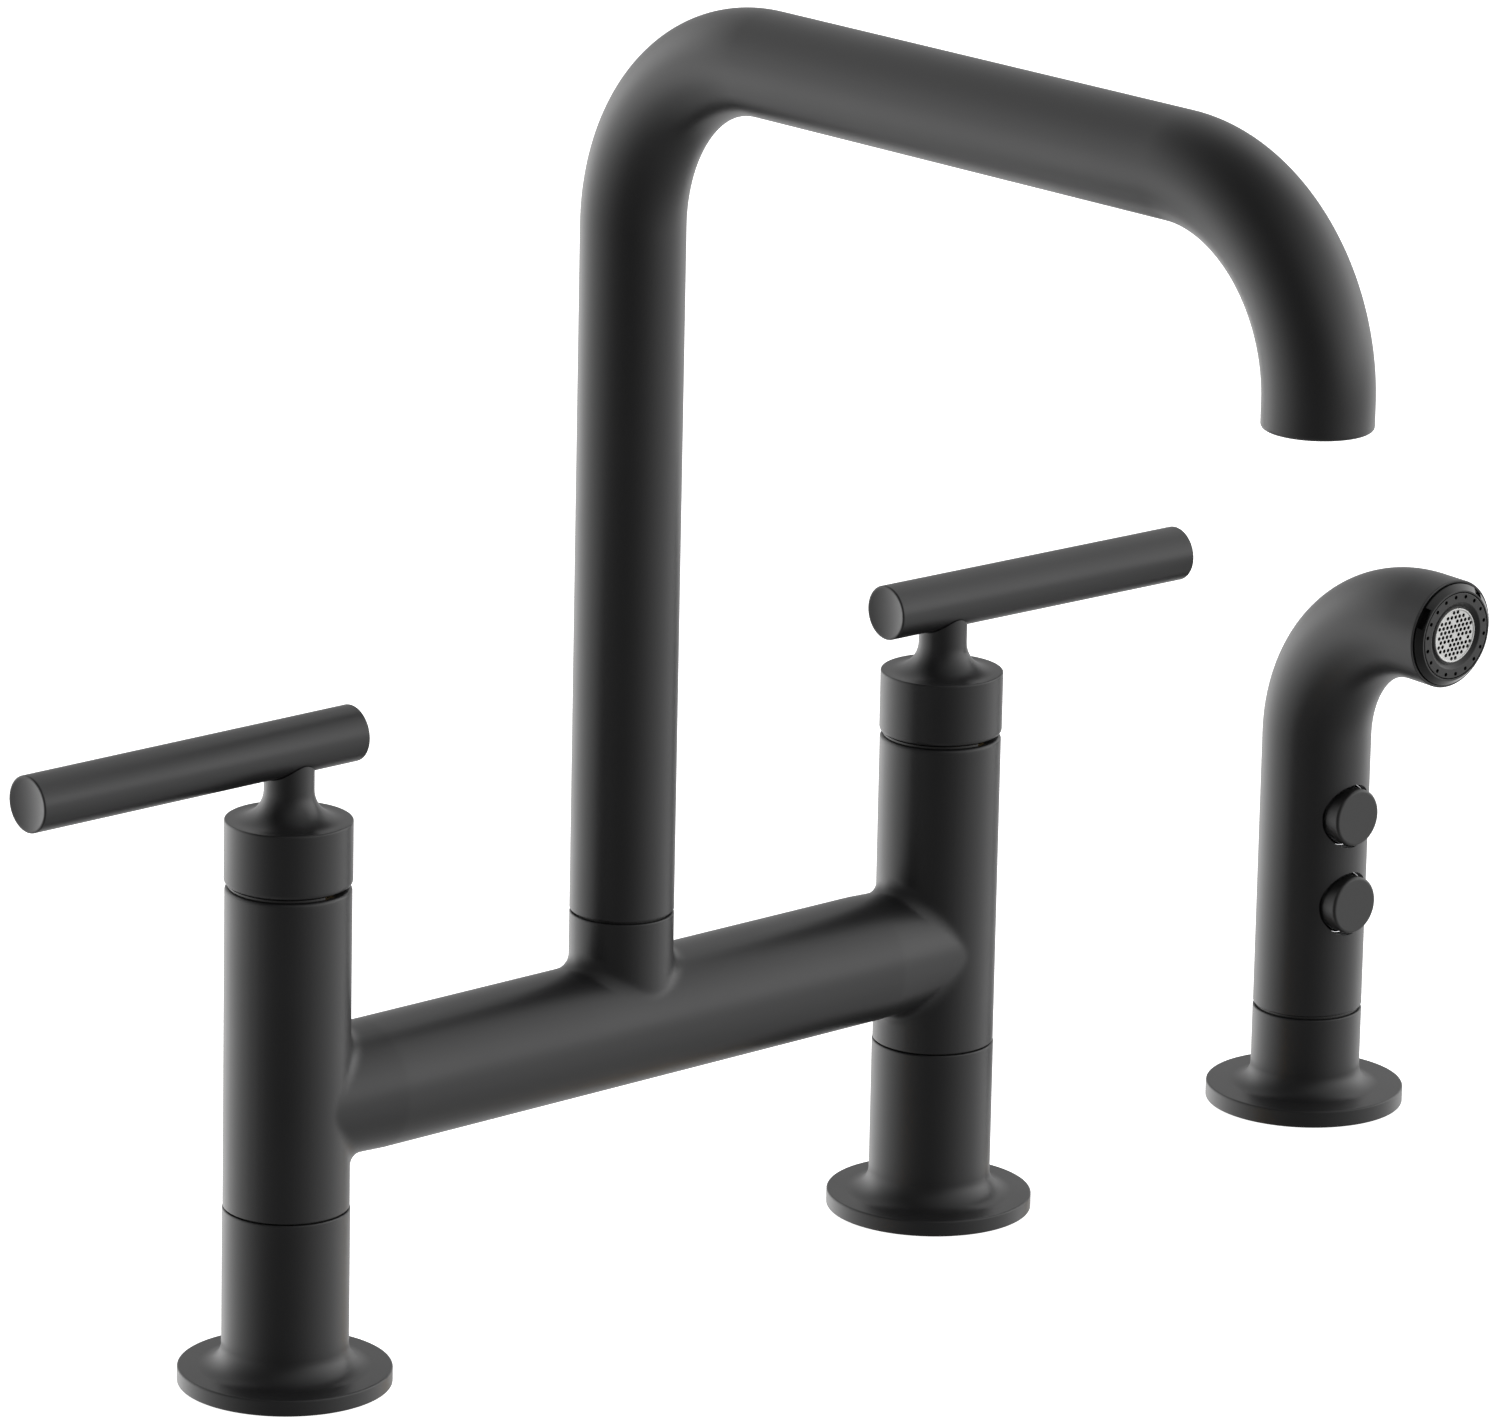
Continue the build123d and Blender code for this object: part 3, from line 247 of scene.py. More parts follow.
ROUND = 128  # segments round a main cylinder
COIL_STEPS = 48  # rings to each turn of a spring
WIRE_SEGMENTS = 10
THREAD_SEGMENTS = 72
THREAD_RINGS = 8  # to each turn of a thread
THREAD_CREST = 0.12  # flat at the crest, as a share of half the pitch
THREAD_FLANK = 0.76  # slope, likewise
THREAD_CHAMFER = 0.9 * MM
RELIEF_HEIGHT = 14 * MM  # plain neck between a shank's two threads
RELIEF_WIDTH = 3 * MM
RELIEF_DEPTH = 1.0 * MM
SHANK_THREAD_END = 2 * MM  # below the shank's top
GUIDE_THREAD_TOP = -1 * MM
NUT_CHAMFER = 0.8 * MM
NUT_FACE_STEP = 0.3 * MM
NUT_CORNER_STEP = 0.2 * MM
NUT_SEGMENTS = 144
SCREEN_ROWS = 15
BLIND_REACH = 0.3  # round a blind cell, in pitches
SCREEN_PIN_SIDES = 12
NOZZLE_PIN_SIDES = 16
ROW_STEP = math.sqrt(3) / 2  # between staggered rows, in pitches
BLIND_CELLS = ((0.0, 0.0), (2.5, -ROW_STEP), (-0.5, 3 * ROW_STEP), (-2.0, -2 * ROW_STEP))
BEND_STEP = 1.0 * MM  # rings of a bent tube

# ---- mesh helpers
def arc_points(before, corner, after, radius, steps):
    """Points of the fillet at a corner between its two neighbours, in a plane."""
    towards = (before - corner).normalized()
    away = (after - corner).normalized()
    half = math.acos(max(-1.0, min(1.0, towards.dot(away)))) / 2
    if radius <= 0 or math.sin(half) > 1 - 1e-6:
        return [corner]
    reach = radius / math.tan(half)
    centre = corner + (towards + away).normalized() * (radius / math.sin(half))
    start = corner + towards * reach - centre
    end = corner + away * reach - centre
    sweep = math.pi - 2 * half
    points = []
    for step in range(steps + 1):
        share = step / steps
        weight_a = math.sin((1 - share) * sweep) / math.sin(sweep)
        weight_b = math.sin(share * sweep) / math.sin(sweep)
        points.append(centre + start * weight_a + end * weight_b)
    return points


def rounded(corners, closed=True):
    """Outline of (radius, height, blend) corners with its blends as arcs.

    Long straight runs get a point near each end, so that smooth shading stays flat on them.
    """
    flat = [(Vector(corner[:2]), corner[2] if len(corner) > 2 else 0.0) for corner in corners]
    points = []
    for index, (corner, blend) in enumerate(flat):
        before = flat[index - 1][0]
        after = flat[(index + 1) % len(flat)][0]
        points += arc_points(before, corner, after, blend, max(4, int(blend / ARC_STEP)))
    tight = []
    for here, there in zip(points, points[1:] + points[:1]):
        tight.append(here)
        run = there - here
        if run.length > 5 * GUARD and (closed or there is not points[0]):
            guard = run.normalized() * GUARD
            tight += [here + guard, there - guard]
    return tight


def ring(bm, place, radius, height, segments, sweep=None, mould=None):
    """A ring or arc of vertices round the local z axis, or one vertex on it."""
    if radius < 1e-9:
        return [bm.verts.new(place @ Vector((0, 0, height)))]
    first, last = (math.radians(angle) for angle in sweep or (0.0, 360.0))
    count = segments + 1 if sweep else segments
    points = [
        place @ Vector((radius * math.cos(angle), radius * math.sin(angle), height))
        for angle in (first + (last - first) * k / segments for k in range(count))
    ]
    return [bm.verts.new(mould(point) if mould else point) for point in points]


def join_rings(bm, low, high, round_trip=True):
    """Faces between two rings; either may be a single vertex."""
    count = max(len(low), len(high))
    if count == 1:
        return
    for k in range(count if round_trip else count - 1):
        nxt = (k + 1) % count
        if len(low) == 1:
            bm.faces.new((low[0], high[nxt], high[k]))
        elif len(high) == 1:
            bm.faces.new((low[k], low[nxt], high[0]))
        else:
            bm.faces.new((low[k], low[nxt], high[nxt], high[k]))


def mesh_object(name, bm):
    """A smooth-shaded object at the origin from a bmesh, with outward faces."""
    bmesh.ops.recalc_face_normals(bm, faces=bm.faces[:])
    mesh = bpy.data.meshes.new(name)
    bm.to_mesh(mesh)
    bm.free()
    mesh.shade_smooth()
    mesh.set_sharp_from_angle(angle=SHARP)
    piece = bpy.data.objects.new(name, mesh)
    bpy.context.scene.collection.objects.link(piece)
    return piece


def lathe(name, corners, place=Matrix(), segments=ROUND, sweep=None, mould=None):
    """A turned piece: the outline goes round the local z axis of place, or part of the way."""
    bm = bmesh.new()
    rings = [ring(bm, place, p.x, p.y, segments, sweep, mould) for p in rounded(corners)]
    for low, high in zip(rings, rings[1:] + rings[:1]):
        join_rings(bm, low, high, not sweep)
    if sweep:
        bm.faces.new([arc[0] for arc in rings])
        bm.faces.new([arc[-1] for arc in rings])
    return mesh_object(name, bm)


def dress(piece, body, slot, *nodes, finish=None):
    """Ride on a body, take the slot's finish or another, and stand for the CAD nodes."""
    piece.data.materials.clear()
    piece.data.materials.append(FINISHES[finish or slot])
    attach(piece, body)
    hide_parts(*nodes)
    return piece


def centre_of(node):
    """Middle of a CAD node's box, at height 0."""
    low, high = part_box(node)
    return Vector(((low.x + high.x) / 2, (low.y + high.y) / 2, 0))

# ---- node trees
class Wire:
    """A number in a node tree; arithmetic on it adds Math nodes."""

    def __init__(self, tree, socket):
        self.tree = tree
        self.socket = socket

    def __add__(self, other):
        return self.tree.math("ADD", self, other)

    def __sub__(self, other):
        return self.tree.math("SUBTRACT", self, other)

    def __rsub__(self, other):
        return self.tree.math("SUBTRACT", other, self)

    def __mul__(self, other):
        return self.tree.math("MULTIPLY", self, other)

    def __truediv__(self, other):
        return self.tree.math("DIVIDE", self, other)

    def at_least(self, other):
        return self.tree.math("MAXIMUM", self, other)

    def at_most(self, other):
        return self.tree.math("MINIMUM", self, other)


def hypotenuse(a, b):
    return a.tree.math("SQRT", a * a + b * b)


class Graph:
    """A node tree that is being wired up."""

    def __init__(self, group):
        self.group = group
        self.nodes = group.nodes
        self.links = group.links

    def face(self, in_out, kind, *names):
        """Named sockets on the outside of the tree."""
        for name in names:
            self.group.interface.new_socket(name, in_out=in_out, socket_type=f"NodeSocket{kind}")

    def join(self, value, slot):
        """Links an output to a socket, or sets the socket to a plain value."""
        if isinstance(value, Wire):
            value = value.socket
        if isinstance(value, bpy.types.NodeSocket):
            self.links.new(value, slot)
        else:
            slot.default_value = value

    def add(self, kind, settings=None, **sockets):
        """A node with its settings and sockets; a socket is named, or numbered as _0, _1, _2."""
        node = self.nodes.new(kind)
        for key, value in (settings or {}).items():
            setattr(node, key, value)
        for key, value in sockets.items():
            self.join(value, node.inputs[int(key[1:]) if key[0] == "_" else key.replace("_", " ")])
        return node

    def math(self, operation, *values):
        """The result of a Math node."""
        numbered = {f"_{k}": value for k, value in enumerate(values)}
        node = self.add("ShaderNodeMath", {"operation": operation}, **numbered)
        return Wire(self, node.outputs[0])


class Tree(Graph):
    """A Geometry Nodes tree with named inputs for its sizes and its finish."""

    def __init__(self, name, *sizes):
        super().__init__(bpy.data.node_groups.new(name, "GeometryNodeTree"))
        self.face("INPUT", "Geometry", "Geometry")
        self.face("INPUT", "Float", *sizes)
        self.face("INPUT", "Material", "Finish")
        self.face("OUTPUT", "Geometry", "Geometry")
        self.given = self.add("NodeGroupInput").outputs

    def __getitem__(self, name):
        """One of the tree's sizes."""
        return Wire(self, self.given[name])

    def position(self):
        """Each point's three coordinates."""
        here = self.add("GeometryNodeInputPosition").outputs[0]
        return [Wire(self, axis) for axis in self.add("ShaderNodeSeparateXYZ", Vector=here).outputs]

    def point(self, x=0.0, y=0.0, z=0.0):
        """A vector from three numbers."""
        return self.add("ShaderNodeCombineXYZ", X=x, Y=y, Z=z).outputs[0]

    def moved(self, geometry, offset):
        return self.add("GeometryNodeSetPosition", Geometry=geometry, Offset=offset).outputs[0]

    def pierce(self, spots, sides):
        """Finishes with the tree's own piece, less a round pin at each spot."""
        pin = self.add(
            "GeometryNodeMeshCylinder", Vertices=sides, Radius=self["Hole Radius"],
            Depth=self["Hole Depth"],
        )
        pins = self.add("GeometryNodeInstanceOnPoints", Points=spots, Instance=pin.outputs["Mesh"])
        real = self.add("GeometryNodeRealizeInstances", Geometry=pins.outputs[0])
        self.finish(self.add(
            "GeometryNodeMeshBoolean", {"operation": "DIFFERENCE", "solver": "EXACT"},
            Mesh_1=self.given["Geometry"], Mesh_2=real.outputs[0],
        ).outputs[0])

    def finish(self, geometry):
        """Real geometry with its finish, to the tree's output."""
        real = self.add("GeometryNodeRealizeInstances", Geometry=geometry)
        painted = self.add(
            "GeometryNodeSetMaterial", Geometry=real.outputs[0], Material=self.given["Finish"]
        )
        self.add("NodeGroupOutput", _0=painted.outputs[0])


def worked(piece, name, wire_up, finish, **sizes):
    """Runs a new tree on a piece, with the sizes as named inputs, and keeps the plain mesh."""
    given = {size.replace("_", " "): value for size, value in sizes.items()}
    tree = Tree(name, *given)
    wire_up(tree)
    modifier = piece.modifiers.new(name, "NODES")
    modifier.node_group = tree.group
    given["Finish"] = FINISHES[finish]
    for item in tree.group.interface.items_tree:
        if item.in_out == "INPUT" and item.name in given:
            modifier[item.identifier] = given[item.name]
    return settled(piece)


def settled(piece):
    """Turns a piece's modifiers into plain mesh."""
    seen = piece.evaluated_get(bpy.context.evaluated_depsgraph_get())
    mesh = bpy.data.meshes.new_from_object(seen)
    piece.modifiers.clear()
    piece.data = mesh
    mesh.shade_smooth()
    mesh.set_sharp_from_angle(angle=SHARP)
    return piece


def cut(piece, *tools):
    """Takes the tools' volumes out of a piece; the tools are used up."""
    for tool in tools:
        modifier = piece.modifiers.new("cut", "BOOLEAN")
        modifier.operation = "DIFFERENCE"
        modifier.solver = "EXACT"
        modifier.object = tool
    settled(piece)
    for tool in tools:
        bpy.data.objects.remove(tool)
    return piece


def along_axis(origin, direction, across=UP):
    """A place whose local z runs along the direction from the origin."""
    z = direction.normalized()
    x = (across - z * across.dot(z)).normalized()
    turn = Matrix((x, z.cross(x), z)).transposed().to_4x4()
    return Matrix.Translation(origin) @ turn


def drill(origin, direction, radius, length=DRILL_LENGTH, segments=64):
    """A plain cylinder to cut a hole with."""
    outline = [(0, 0), (radius, 0), (radius, length), (0, length)]
    return lathe("drill", outline, along_axis(origin, direction), segments)


def joined(name, *pieces):
    """One object from several."""
    bm = bmesh.new()
    for piece in pieces:
        bm.from_mesh(piece.data)
        bpy.data.objects.remove(piece)
    return mesh_object(name, bm)


def in_place(piece, place):
    """Moves a piece's mesh from the origin to its place."""
    piece.data.transform(place)
    return piece


def perforate(tree):
    """Round holes in staggered rows through a plate at the origin, with four blind cells."""
    number = Wire(tree, tree.add("GeometryNodeInputIndex").outputs[0])
    row = tree.math("FLOOR", number / SCREEN_ROWS) - SCREEN_ROWS // 2
    column = tree.math("MODULO", number, SCREEN_ROWS) - SCREEN_ROWS // 2
    pitch = tree["Pitch"]
    spots = tree.add(
        "GeometryNodePoints",
        Count=SCREEN_ROWS**2,
        Position=tree.point(
            (column + tree.math("FLOORED_MODULO", row, 2.0) / 2.0) * pitch, row * ROW_STEP * pitch
        ),
    )
    x, y, _ = tree.position()
    unwanted = hypotenuse(x, y) - tree["Field Radius"]
    for across, up in BLIND_CELLS:
        cell = hypotenuse(x - pitch * across, y - pitch * up)
        unwanted = unwanted.at_least(pitch * BLIND_REACH - cell)
    kept = tree.add(
        "GeometryNodeDeleteGeometry", Geometry=spots.outputs[0],
        Selection=tree.math("GREATER_THAN", unwanted, 0.0),
    )
    tree.pierce(kept.outputs[0], SCREEN_PIN_SIDES)


def pierce_circle(tree):
    """A circle of small holes in a face at the origin."""
    spots = tree.add(
        "GeometryNodeMeshCircle", Vertices=tree["Count"], Radius=tree["Circle Radius"]
    )
    tree.pierce(spots.outputs[0], NOZZLE_PIN_SIDES)


def press_thread(tree):
    """A screw thread pressed into a round bar's skin between two heights, with soft ends."""
    x, y, z = tree.position()
    x -= tree["Axis X"]
    y -= tree["Axis Y"]
    pitch = tree["Pitch"]
    radius = hypotenuse(x, y).at_least(1e-6)
    turn = tree.math("ARCTAN2", y, x) / math.tau
    tooth = tree.math("ABSOLUTE", tree.math("FRACT", z / pitch - turn) * 2.0 - 1.0)
    flank = ((tooth - THREAD_CREST) / THREAD_FLANK).at_least(0.0).at_most(1.0)
    skin = tree.math("GREATER_THAN", radius, tree["Crest Radius"] - FIT)
    inside = ((z - tree["Low"]) / pitch).at_most((tree["High"] - z) / pitch)
    fade = inside.at_least(0.0).at_most(1.0)
    sink = flank * fade * skin * tree["Depth"] / radius * -1.0
    tree.finish(tree.moved(tree.given["Geometry"], tree.point(x * sink, y * sink)))


def threaded(name, axis, finish, outline, threads, pitch, depth):
    """A turned tube with screw threads, each given by its low end, high end and crest radius."""
    corners = []
    for here, there in zip(outline, outline[1:] + outline[:1]):
        corners.append(here)
        low, high = sorted((here[1], there[1]))
        if any(
            here[0] == there[0] == crest and low <= z_low and z_high <= high
            for z_low, z_high, crest in threads
        ):
            count = int((high - low) / pitch * THREAD_RINGS)
            rise = there[1] - here[1]
            corners += [(here[0], here[1] + rise * k / count) for k in range(1, count)]
    piece = lathe(name, corners, Matrix.Translation(axis), THREAD_SEGMENTS)
    for z_low, z_high, crest in threads:
        worked(
            piece, "screw_thread", press_thread, finish, Axis_X=axis.x, Axis_Y=axis.y,
            Crest_Radius=crest, Pitch=pitch, Depth=depth, Low=z_low, High=z_high,
        )
    return piece


def hex_mould(axis, flats):
    """Keeps a turned blank within a hexagon with corners along X."""
    def shaped(point):
        flat = Vector((point.x - axis.x, point.y - axis.y))
        angle = math.atan2(flat.y, flat.x) % (math.pi / 3) - math.pi / 6
        limit = flats / 2 / math.cos(angle)
        if flat.length > limit:
            flat *= limit / flat.length
        return Vector((axis.x + flat.x, axis.y + flat.y, point.z))
    return shaped


def hex_nut(name, axis, flats, bore, bottom, top):
    """A hexagon nut with chamfered corners and a chamfered bore."""
    corner = flats / 2 / math.cos(math.pi / 6)
    bevel = (corner - flats / 2) / math.sqrt(3)
    face = flats / 2 - NUT_FACE_STEP
    shoulder = corner - NUT_FACE_STEP
    return lathe(name, [
        (bore, bottom + NUT_CHAMFER), (bore + NUT_CHAMFER, bottom), (face, bottom),
        (shoulder, bottom + bevel), (corner, bottom + bevel + NUT_CORNER_STEP),
        (corner, top - bevel - NUT_CORNER_STEP), (shoulder, top - bevel),
        (face, top), (bore + NUT_CHAMFER, top), (bore, top - NUT_CHAMFER),
    ], Matrix.Translation(axis), NUT_SEGMENTS, mould=hex_mould(axis, flats))

# ---- finishes
def new_material(name, **constants):
    """A material with a Principled shader whose named sockets are set."""
    material = bpy.data.materials.new(name)
    material.use_nodes = True
    shader = material.node_tree.nodes["Principled BSDF"]
    for socket, value in constants.items():
        shader.inputs[socket.replace("_", " ")].default_value = value
    return material


def coat_group():
    """Baked powder finish: faint clouds in colour and gloss, and a fine orange-peel grain."""
    coat = Graph(bpy.data.node_groups.new("powder_coat", "ShaderNodeTree"))
    coat.face("INPUT", "Color", "Colour")
    coat.face("INPUT", "Float", "Gloss", "Grain")
    coat.face("OUTPUT", "Color", "Colour")
    coat.face("OUTPUT", "Float", "Roughness", "Height")
    given = coat.add("NodeGroupInput").outputs
    where = coat.add("ShaderNodeTexCoord").outputs["Object"]
    clouds, grain = (
        coat.add("ShaderNodeTexNoise", Vector=where, Scale=scale, Detail=detail).outputs["Fac"]
        for scale, detail in (CLOUDS, GRAIN)
    )
    dark, pale = CLOUD_SHADES
    shade = coat.add("ShaderNodeMapRange", Value=clouds, To_Min=dark, To_Max=pale)
    coat.add(
        "NodeGroupOutput",
        Colour=times(coat, given["Colour"], shade.outputs["Result"]),
        Roughness=coat.math("MULTIPLY_ADD", clouds, CLOUDS_IN_GLOSS, given["Gloss"]),
        Height=coat.math("MULTIPLY", grain, given["Grain"]),
    )
    return coat.group


def times(graph, a, b):
    """Two colours multiplied."""
    return graph.add(
        "ShaderNodeMix", {"data_type": "RGBA", "blend_type": "MULTIPLY"}, Factor=1.0, A=a, B=b
    ).outputs["Result"]


def coated(name, colour, gloss, grain, metallic=0.0):
    """A material with the powder finish in it."""
    material = new_material(name, Metallic=metallic)
    graph = Graph(material.node_tree)
    coat = graph.add(
        "ShaderNodeGroup", {"node_tree": POWDER}, Colour=(*colour, 1.0), Gloss=gloss, Grain=grain
    ).outputs
    bump = graph.add(
        "ShaderNodeBump", Distance=GRAIN_HEIGHT, Strength=GRAIN_STRENGTH, Height=coat["Height"]
    )
    shader = graph.nodes["Principled BSDF"].inputs
    graph.join(coat["Colour"], shader["Base Color"])
    graph.join(coat["Roughness"], shader["Roughness"])
    graph.join(bump.outputs["Normal"], shader["Normal"])
    return material


POWDER = coat_group()
FINISHES = {
    name: coated(name, *look)
    for name, look in {
        "matte_black": ((0.010, 0.010, 0.0105), 0.34, 1.0),
        "black_plastic": ((0.012, 0.012, 0.012), 0.42, 0.5),
        "satin_plastic": ((0.011, 0.011, 0.011), 0.36, 0.4),
        "gloss_plastic": ((0.006, 0.006, 0.006), 0.12, 0.2),
        "black_rubber": ((0.012, 0.012, 0.013), 0.62, 1.5),
        "white_plastic": ((0.80, 0.80, 0.77), 0.38, 0.5),
        "ceramic": ((0.86, 0.85, 0.80), 0.15, 0.3),
        "brass": ((0.70, 0.48, 0.20), 0.26, 0.6, 1.0),
        "copper": ((0.78, 0.36, 0.20), 0.24, 0.4, 1.0),
        "stainless": ((0.60, 0.60, 0.59), 0.22, 0.5, 1.0),
        "chrome": ((0.80, 0.80, 0.82), 0.03, 0.0, 1.0),
        "bright_steel": ((0.56, 0.56, 0.55), 0.30, 0.4, 0.55),
    }.items()
}
for part in frame["record"]["subparts"]:
    node_mesh = frame["nodes"][part["node"]].data
    node_mesh.materials.clear()
    node_mesh.materials.append(FINISHES[part["material_slot"]])

# ---- bases, hubs and levers
half_spacing = centre_of("cold_base").x
post_axes = {side: centre_of(f"{side}_base") for side in ("hot", "cold")}
spray_axis = centre_of("spray_holder")
hub_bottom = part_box("hot_hub")[0].z
lever_turns = {"hot": 180.0, "cold": COLD_LEVER_TURN}


def flared_foot(name, node, radius, thickness, blend, hole):
    """Round foot with a rounded flange rim, a blend into the riser and a hollow below."""
    low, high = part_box(node)
    flange = (high.x - low.x) / 2
    inner = max(hole, radius - RISER_WALL)
    return lathe(name, [
        (GASKET_RADIUS, 0.0), (flange, 0.0, FOOT_EDGE), (flange, thickness, FLANGE_EDGE),
        (radius, thickness, blend), (radius, high.z - SEAM_SLOT, LIP),
        (radius - SEAM_DEPTH, high.z - SEAM_SLOT), (radius - SEAM_DEPTH, high.z), (hole, high.z),
        (hole, high.z - RISER_WALL), (inner, high.z - RISER_WALL), (inner, GASKET_THICKNESS),
        (GASKET_RADIUS, GASKET_THICKNESS),
    ], Matrix.Translation(centre_of(node)))


for side, axis in post_axes.items():
    base = flared_foot(
        f"{side}_base_body", f"{side}_base", BASE_RADIUS, FLANGE_THICKNESS, BASE_BLEND, SHANK_HOLE
    )
    dress(base, "faucet_body", "matte_black", f"{side}_base")

    ring_low, ring_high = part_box(f"{side}_glide_ring")
    glide = lathe(f"{side}_split_ring", [
        (GLIDE_RING_INNER, ring_low.z), (GLIDE_RING_OUTER, ring_low.z, GLIDE_RING_EDGE),
        (GLIDE_RING_OUTER, ring_high.z, GLIDE_RING_EDGE), (GLIDE_RING_INNER, ring_high.z),
    ], Matrix.Translation(axis), sweep=GLIDE_RING_SWEEP)
    dress(glide, "faucet_body", "black_plastic", f"{side}_glide_ring", finish="satin_plastic")

    # the bar's direction, away from the spout
    turn = math.radians(lever_turns[side])
    outwards = Vector((math.cos(turn), math.sin(turn), 0))
    sideways_on = Vector((-math.sin(turn), math.cos(turn), 0))

    def saddled(point):
        """Keeps the neck below the bar's underside, with a fine broken edge."""
        flat = Vector((point.x - axis.x, point.y - axis.y))
        in_neck = SPIGOT_RADIUS + FIT < flat.length < NECK_RADIUS + NECK_MARGIN
        if not in_neck or point.z < HUB_TOP + MM:
            return point
        across = flat.dot(sideways_on.xy)
        limit = LEVER_HEIGHT - math.sqrt((LEVER_RADIUS + FIT)**2 - across**2)
        if flat.length > NECK_RADIUS - FIT:
            limit -= NECK_EDGE
        return Vector((point.x, point.y, min(point.z, limit)))

    spigot_top = LEVER_HEIGHT + SPIGOT_ROOM
    hub = lathe(f"{side}_hub_body", [
        (HUB_CAVITY_RADIUS, hub_bottom), (HUB_RADIUS, hub_bottom, HUB_FOOT_EDGE),
        (HUB_RADIUS, HUB_TOP, HUB_EDGE), (NECK_RADIUS, HUB_TOP, NECK_BLEND),
        (NECK_RADIUS, spigot_top), (NECK_RADIUS - NECK_LIP, spigot_top),
        (SPIGOT_RADIUS + SPIGOT_LIP, spigot_top), (SPIGOT_RADIUS, LEVER_HEIGHT - LEVER_RADIUS),
        (SPIGOT_RADIUS, spigot_top), (0.0, spigot_top), (0.0, STEM_TOP + STEM_ROOM),
        (STEM_HOLE, STEM_TOP + STEM_ROOM), (STEM_HOLE, hub_bottom + HUB_CAVITY),
        (HUB_CAVITY_RADIUS, hub_bottom + HUB_CAVITY),
    ], Matrix.Translation(axis), mould=saddled)
    screw_low, screw_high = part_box(f"{side}_set_screw")
    screw = (screw_low + screw_high) / 2
    screw_line = Vector((axis.x, axis.y, screw.z))
    cut(hub, drill(screw_line, screw - screw_line, SCREW_HOLE))
    dress(hub, f"{side}_handle", "matte_black", f"{side}_hub")

    dish = [
        (radius, DISH_DEPTH * (1 - (radius / (LEVER_RADIUS - DISH_RIM)) ** 2))
        for radius in [(LEVER_RADIUS - DISH_RIM) * k / 10 for k in range(10)]
    ]
    lever = lathe(
        f"{side}_lever_bar",
        [(radius, depth - LEVER_INBOARD) for radius, depth in dish]
        + [
            (LEVER_RADIUS - DISH_RIM, -LEVER_INBOARD, FINE_EDGE),
            (LEVER_RADIUS, -LEVER_INBOARD, LEVER_EDGE), (LEVER_RADIUS, LEVER_OUTBOARD, LEVER_EDGE),
            (LEVER_RADIUS - DISH_RIM, LEVER_OUTBOARD, FINE_EDGE),
        ]
        + [(radius, LEVER_OUTBOARD - depth) for radius, depth in reversed(dish)],
        along_axis(Vector((axis.x, axis.y, LEVER_HEIGHT)), outwards),
    )
    below = Vector((axis.x, axis.y, LEVER_HEIGHT - LEVER_RADIUS - MM))
    cut(lever, drill(below, UP, SPIGOT_RADIUS + SPIGOT_HOLE_ROOM, LEVER_RADIUS + SPIGOT_HOLE_DEPTH))
    dress(lever, f"{side}_handle", "matte_black", f"{side}_lever")

# ---- bridge casting
def round_union(a, b, cosine, blend):
    """Distance to two rounds joined by a hollow blend, narrower where they meet at a slant."""
    radius = ((1.0 - cosine) * blend).at_least(1e-5)
    inside = hypotenuse((radius - a).at_least(0.0), (radius - b).at_least(0.0))
    return a.at_most(b).at_least(radius) - inside


def casting_distance(tree, x, y, z):
    """Distance to the casting's skin: two posts, the bridge tube and the spout's socket."""
    out = tree.math("ABSOLUTE", x)
    half = tree["Half Spacing"]
    bridge = tree["Bridge Radius"]
    neck_start = half - tree["Neck Length"]
    taper = ((out - neck_start) / tree["Neck Length"]).at_least(0.0).at_most(1.0)
    tube_radius = bridge - taper * (bridge - tree["Neck Radius"])
    up = z - tree["Bridge Height"]
    from_post = hypotenuse(out - half, y)
    from_tube = hypotenuse(y, up)
    from_socket = hypotenuse(x, y)
    post = from_post - tree["Post Radius"]
    tube = (from_tube - tube_radius).at_least(out - half)
    socket = (from_socket - tree["Socket Radius"]).at_least(up * -1.0)
    at_post = y * y / (from_post * from_tube).at_least(1e-6)
    at_socket = y * y / (from_socket * from_tube).at_least(1e-6)
    return round_union(post, tube, at_post, tree["Post Blend"]).at_most(
        round_union(socket, tube, at_socket, tree["Socket Blend"])
    )


def cast(tree):
    """Skin of the casting: a grid of distances, meshed, then drawn onto the true surface."""
    place = tree.position()
    distance = casting_distance(tree, *place)
    slope = []
    for axis in range(3):
        beside = [w + CASTING_STEP if k == axis else w for k, w in enumerate(place)]
        slope.append((casting_distance(tree, *beside) - distance) / CASTING_STEP)
    steepness = (slope[0] * slope[0] + slope[1] * slope[1] + slope[2] * slope[2]).at_least(0.01)
    reach_x = tree["Half Spacing"] + tree["Post Radius"] + CASTING_MARGIN
    reach_y = tree["Bridge Radius"] + CASTING_MARGIN
    low, high = tree["Bottom"], tree["Top"]
    grid = tree["Grid"]
    cube = tree.add(
        "GeometryNodeVolumeCube",
        Density=distance * -1000.0,
        Background=-1.0,
        Min=tree.point(reach_x * -1.0, reach_y * -1.0, low),
        Max=tree.point(reach_x, reach_y, high),
        Resolution_X=reach_x * 2.0 / grid,
        Resolution_Y=reach_y * 2.0 / grid,
        Resolution_Z=(high - low) / grid,
    )
    drawn = tree.add(
        "GeometryNodeVolumeToMesh", Volume=cube.outputs[0], Threshold=0.0, Adaptivity=0.0
    ).outputs[0]
    shift = [(distance * s / steepness) * -1.0 for s in slope]
    for _ in range(2):
        drawn = tree.moved(drawn, tree.point(*shift))
    tree.finish(drawn)


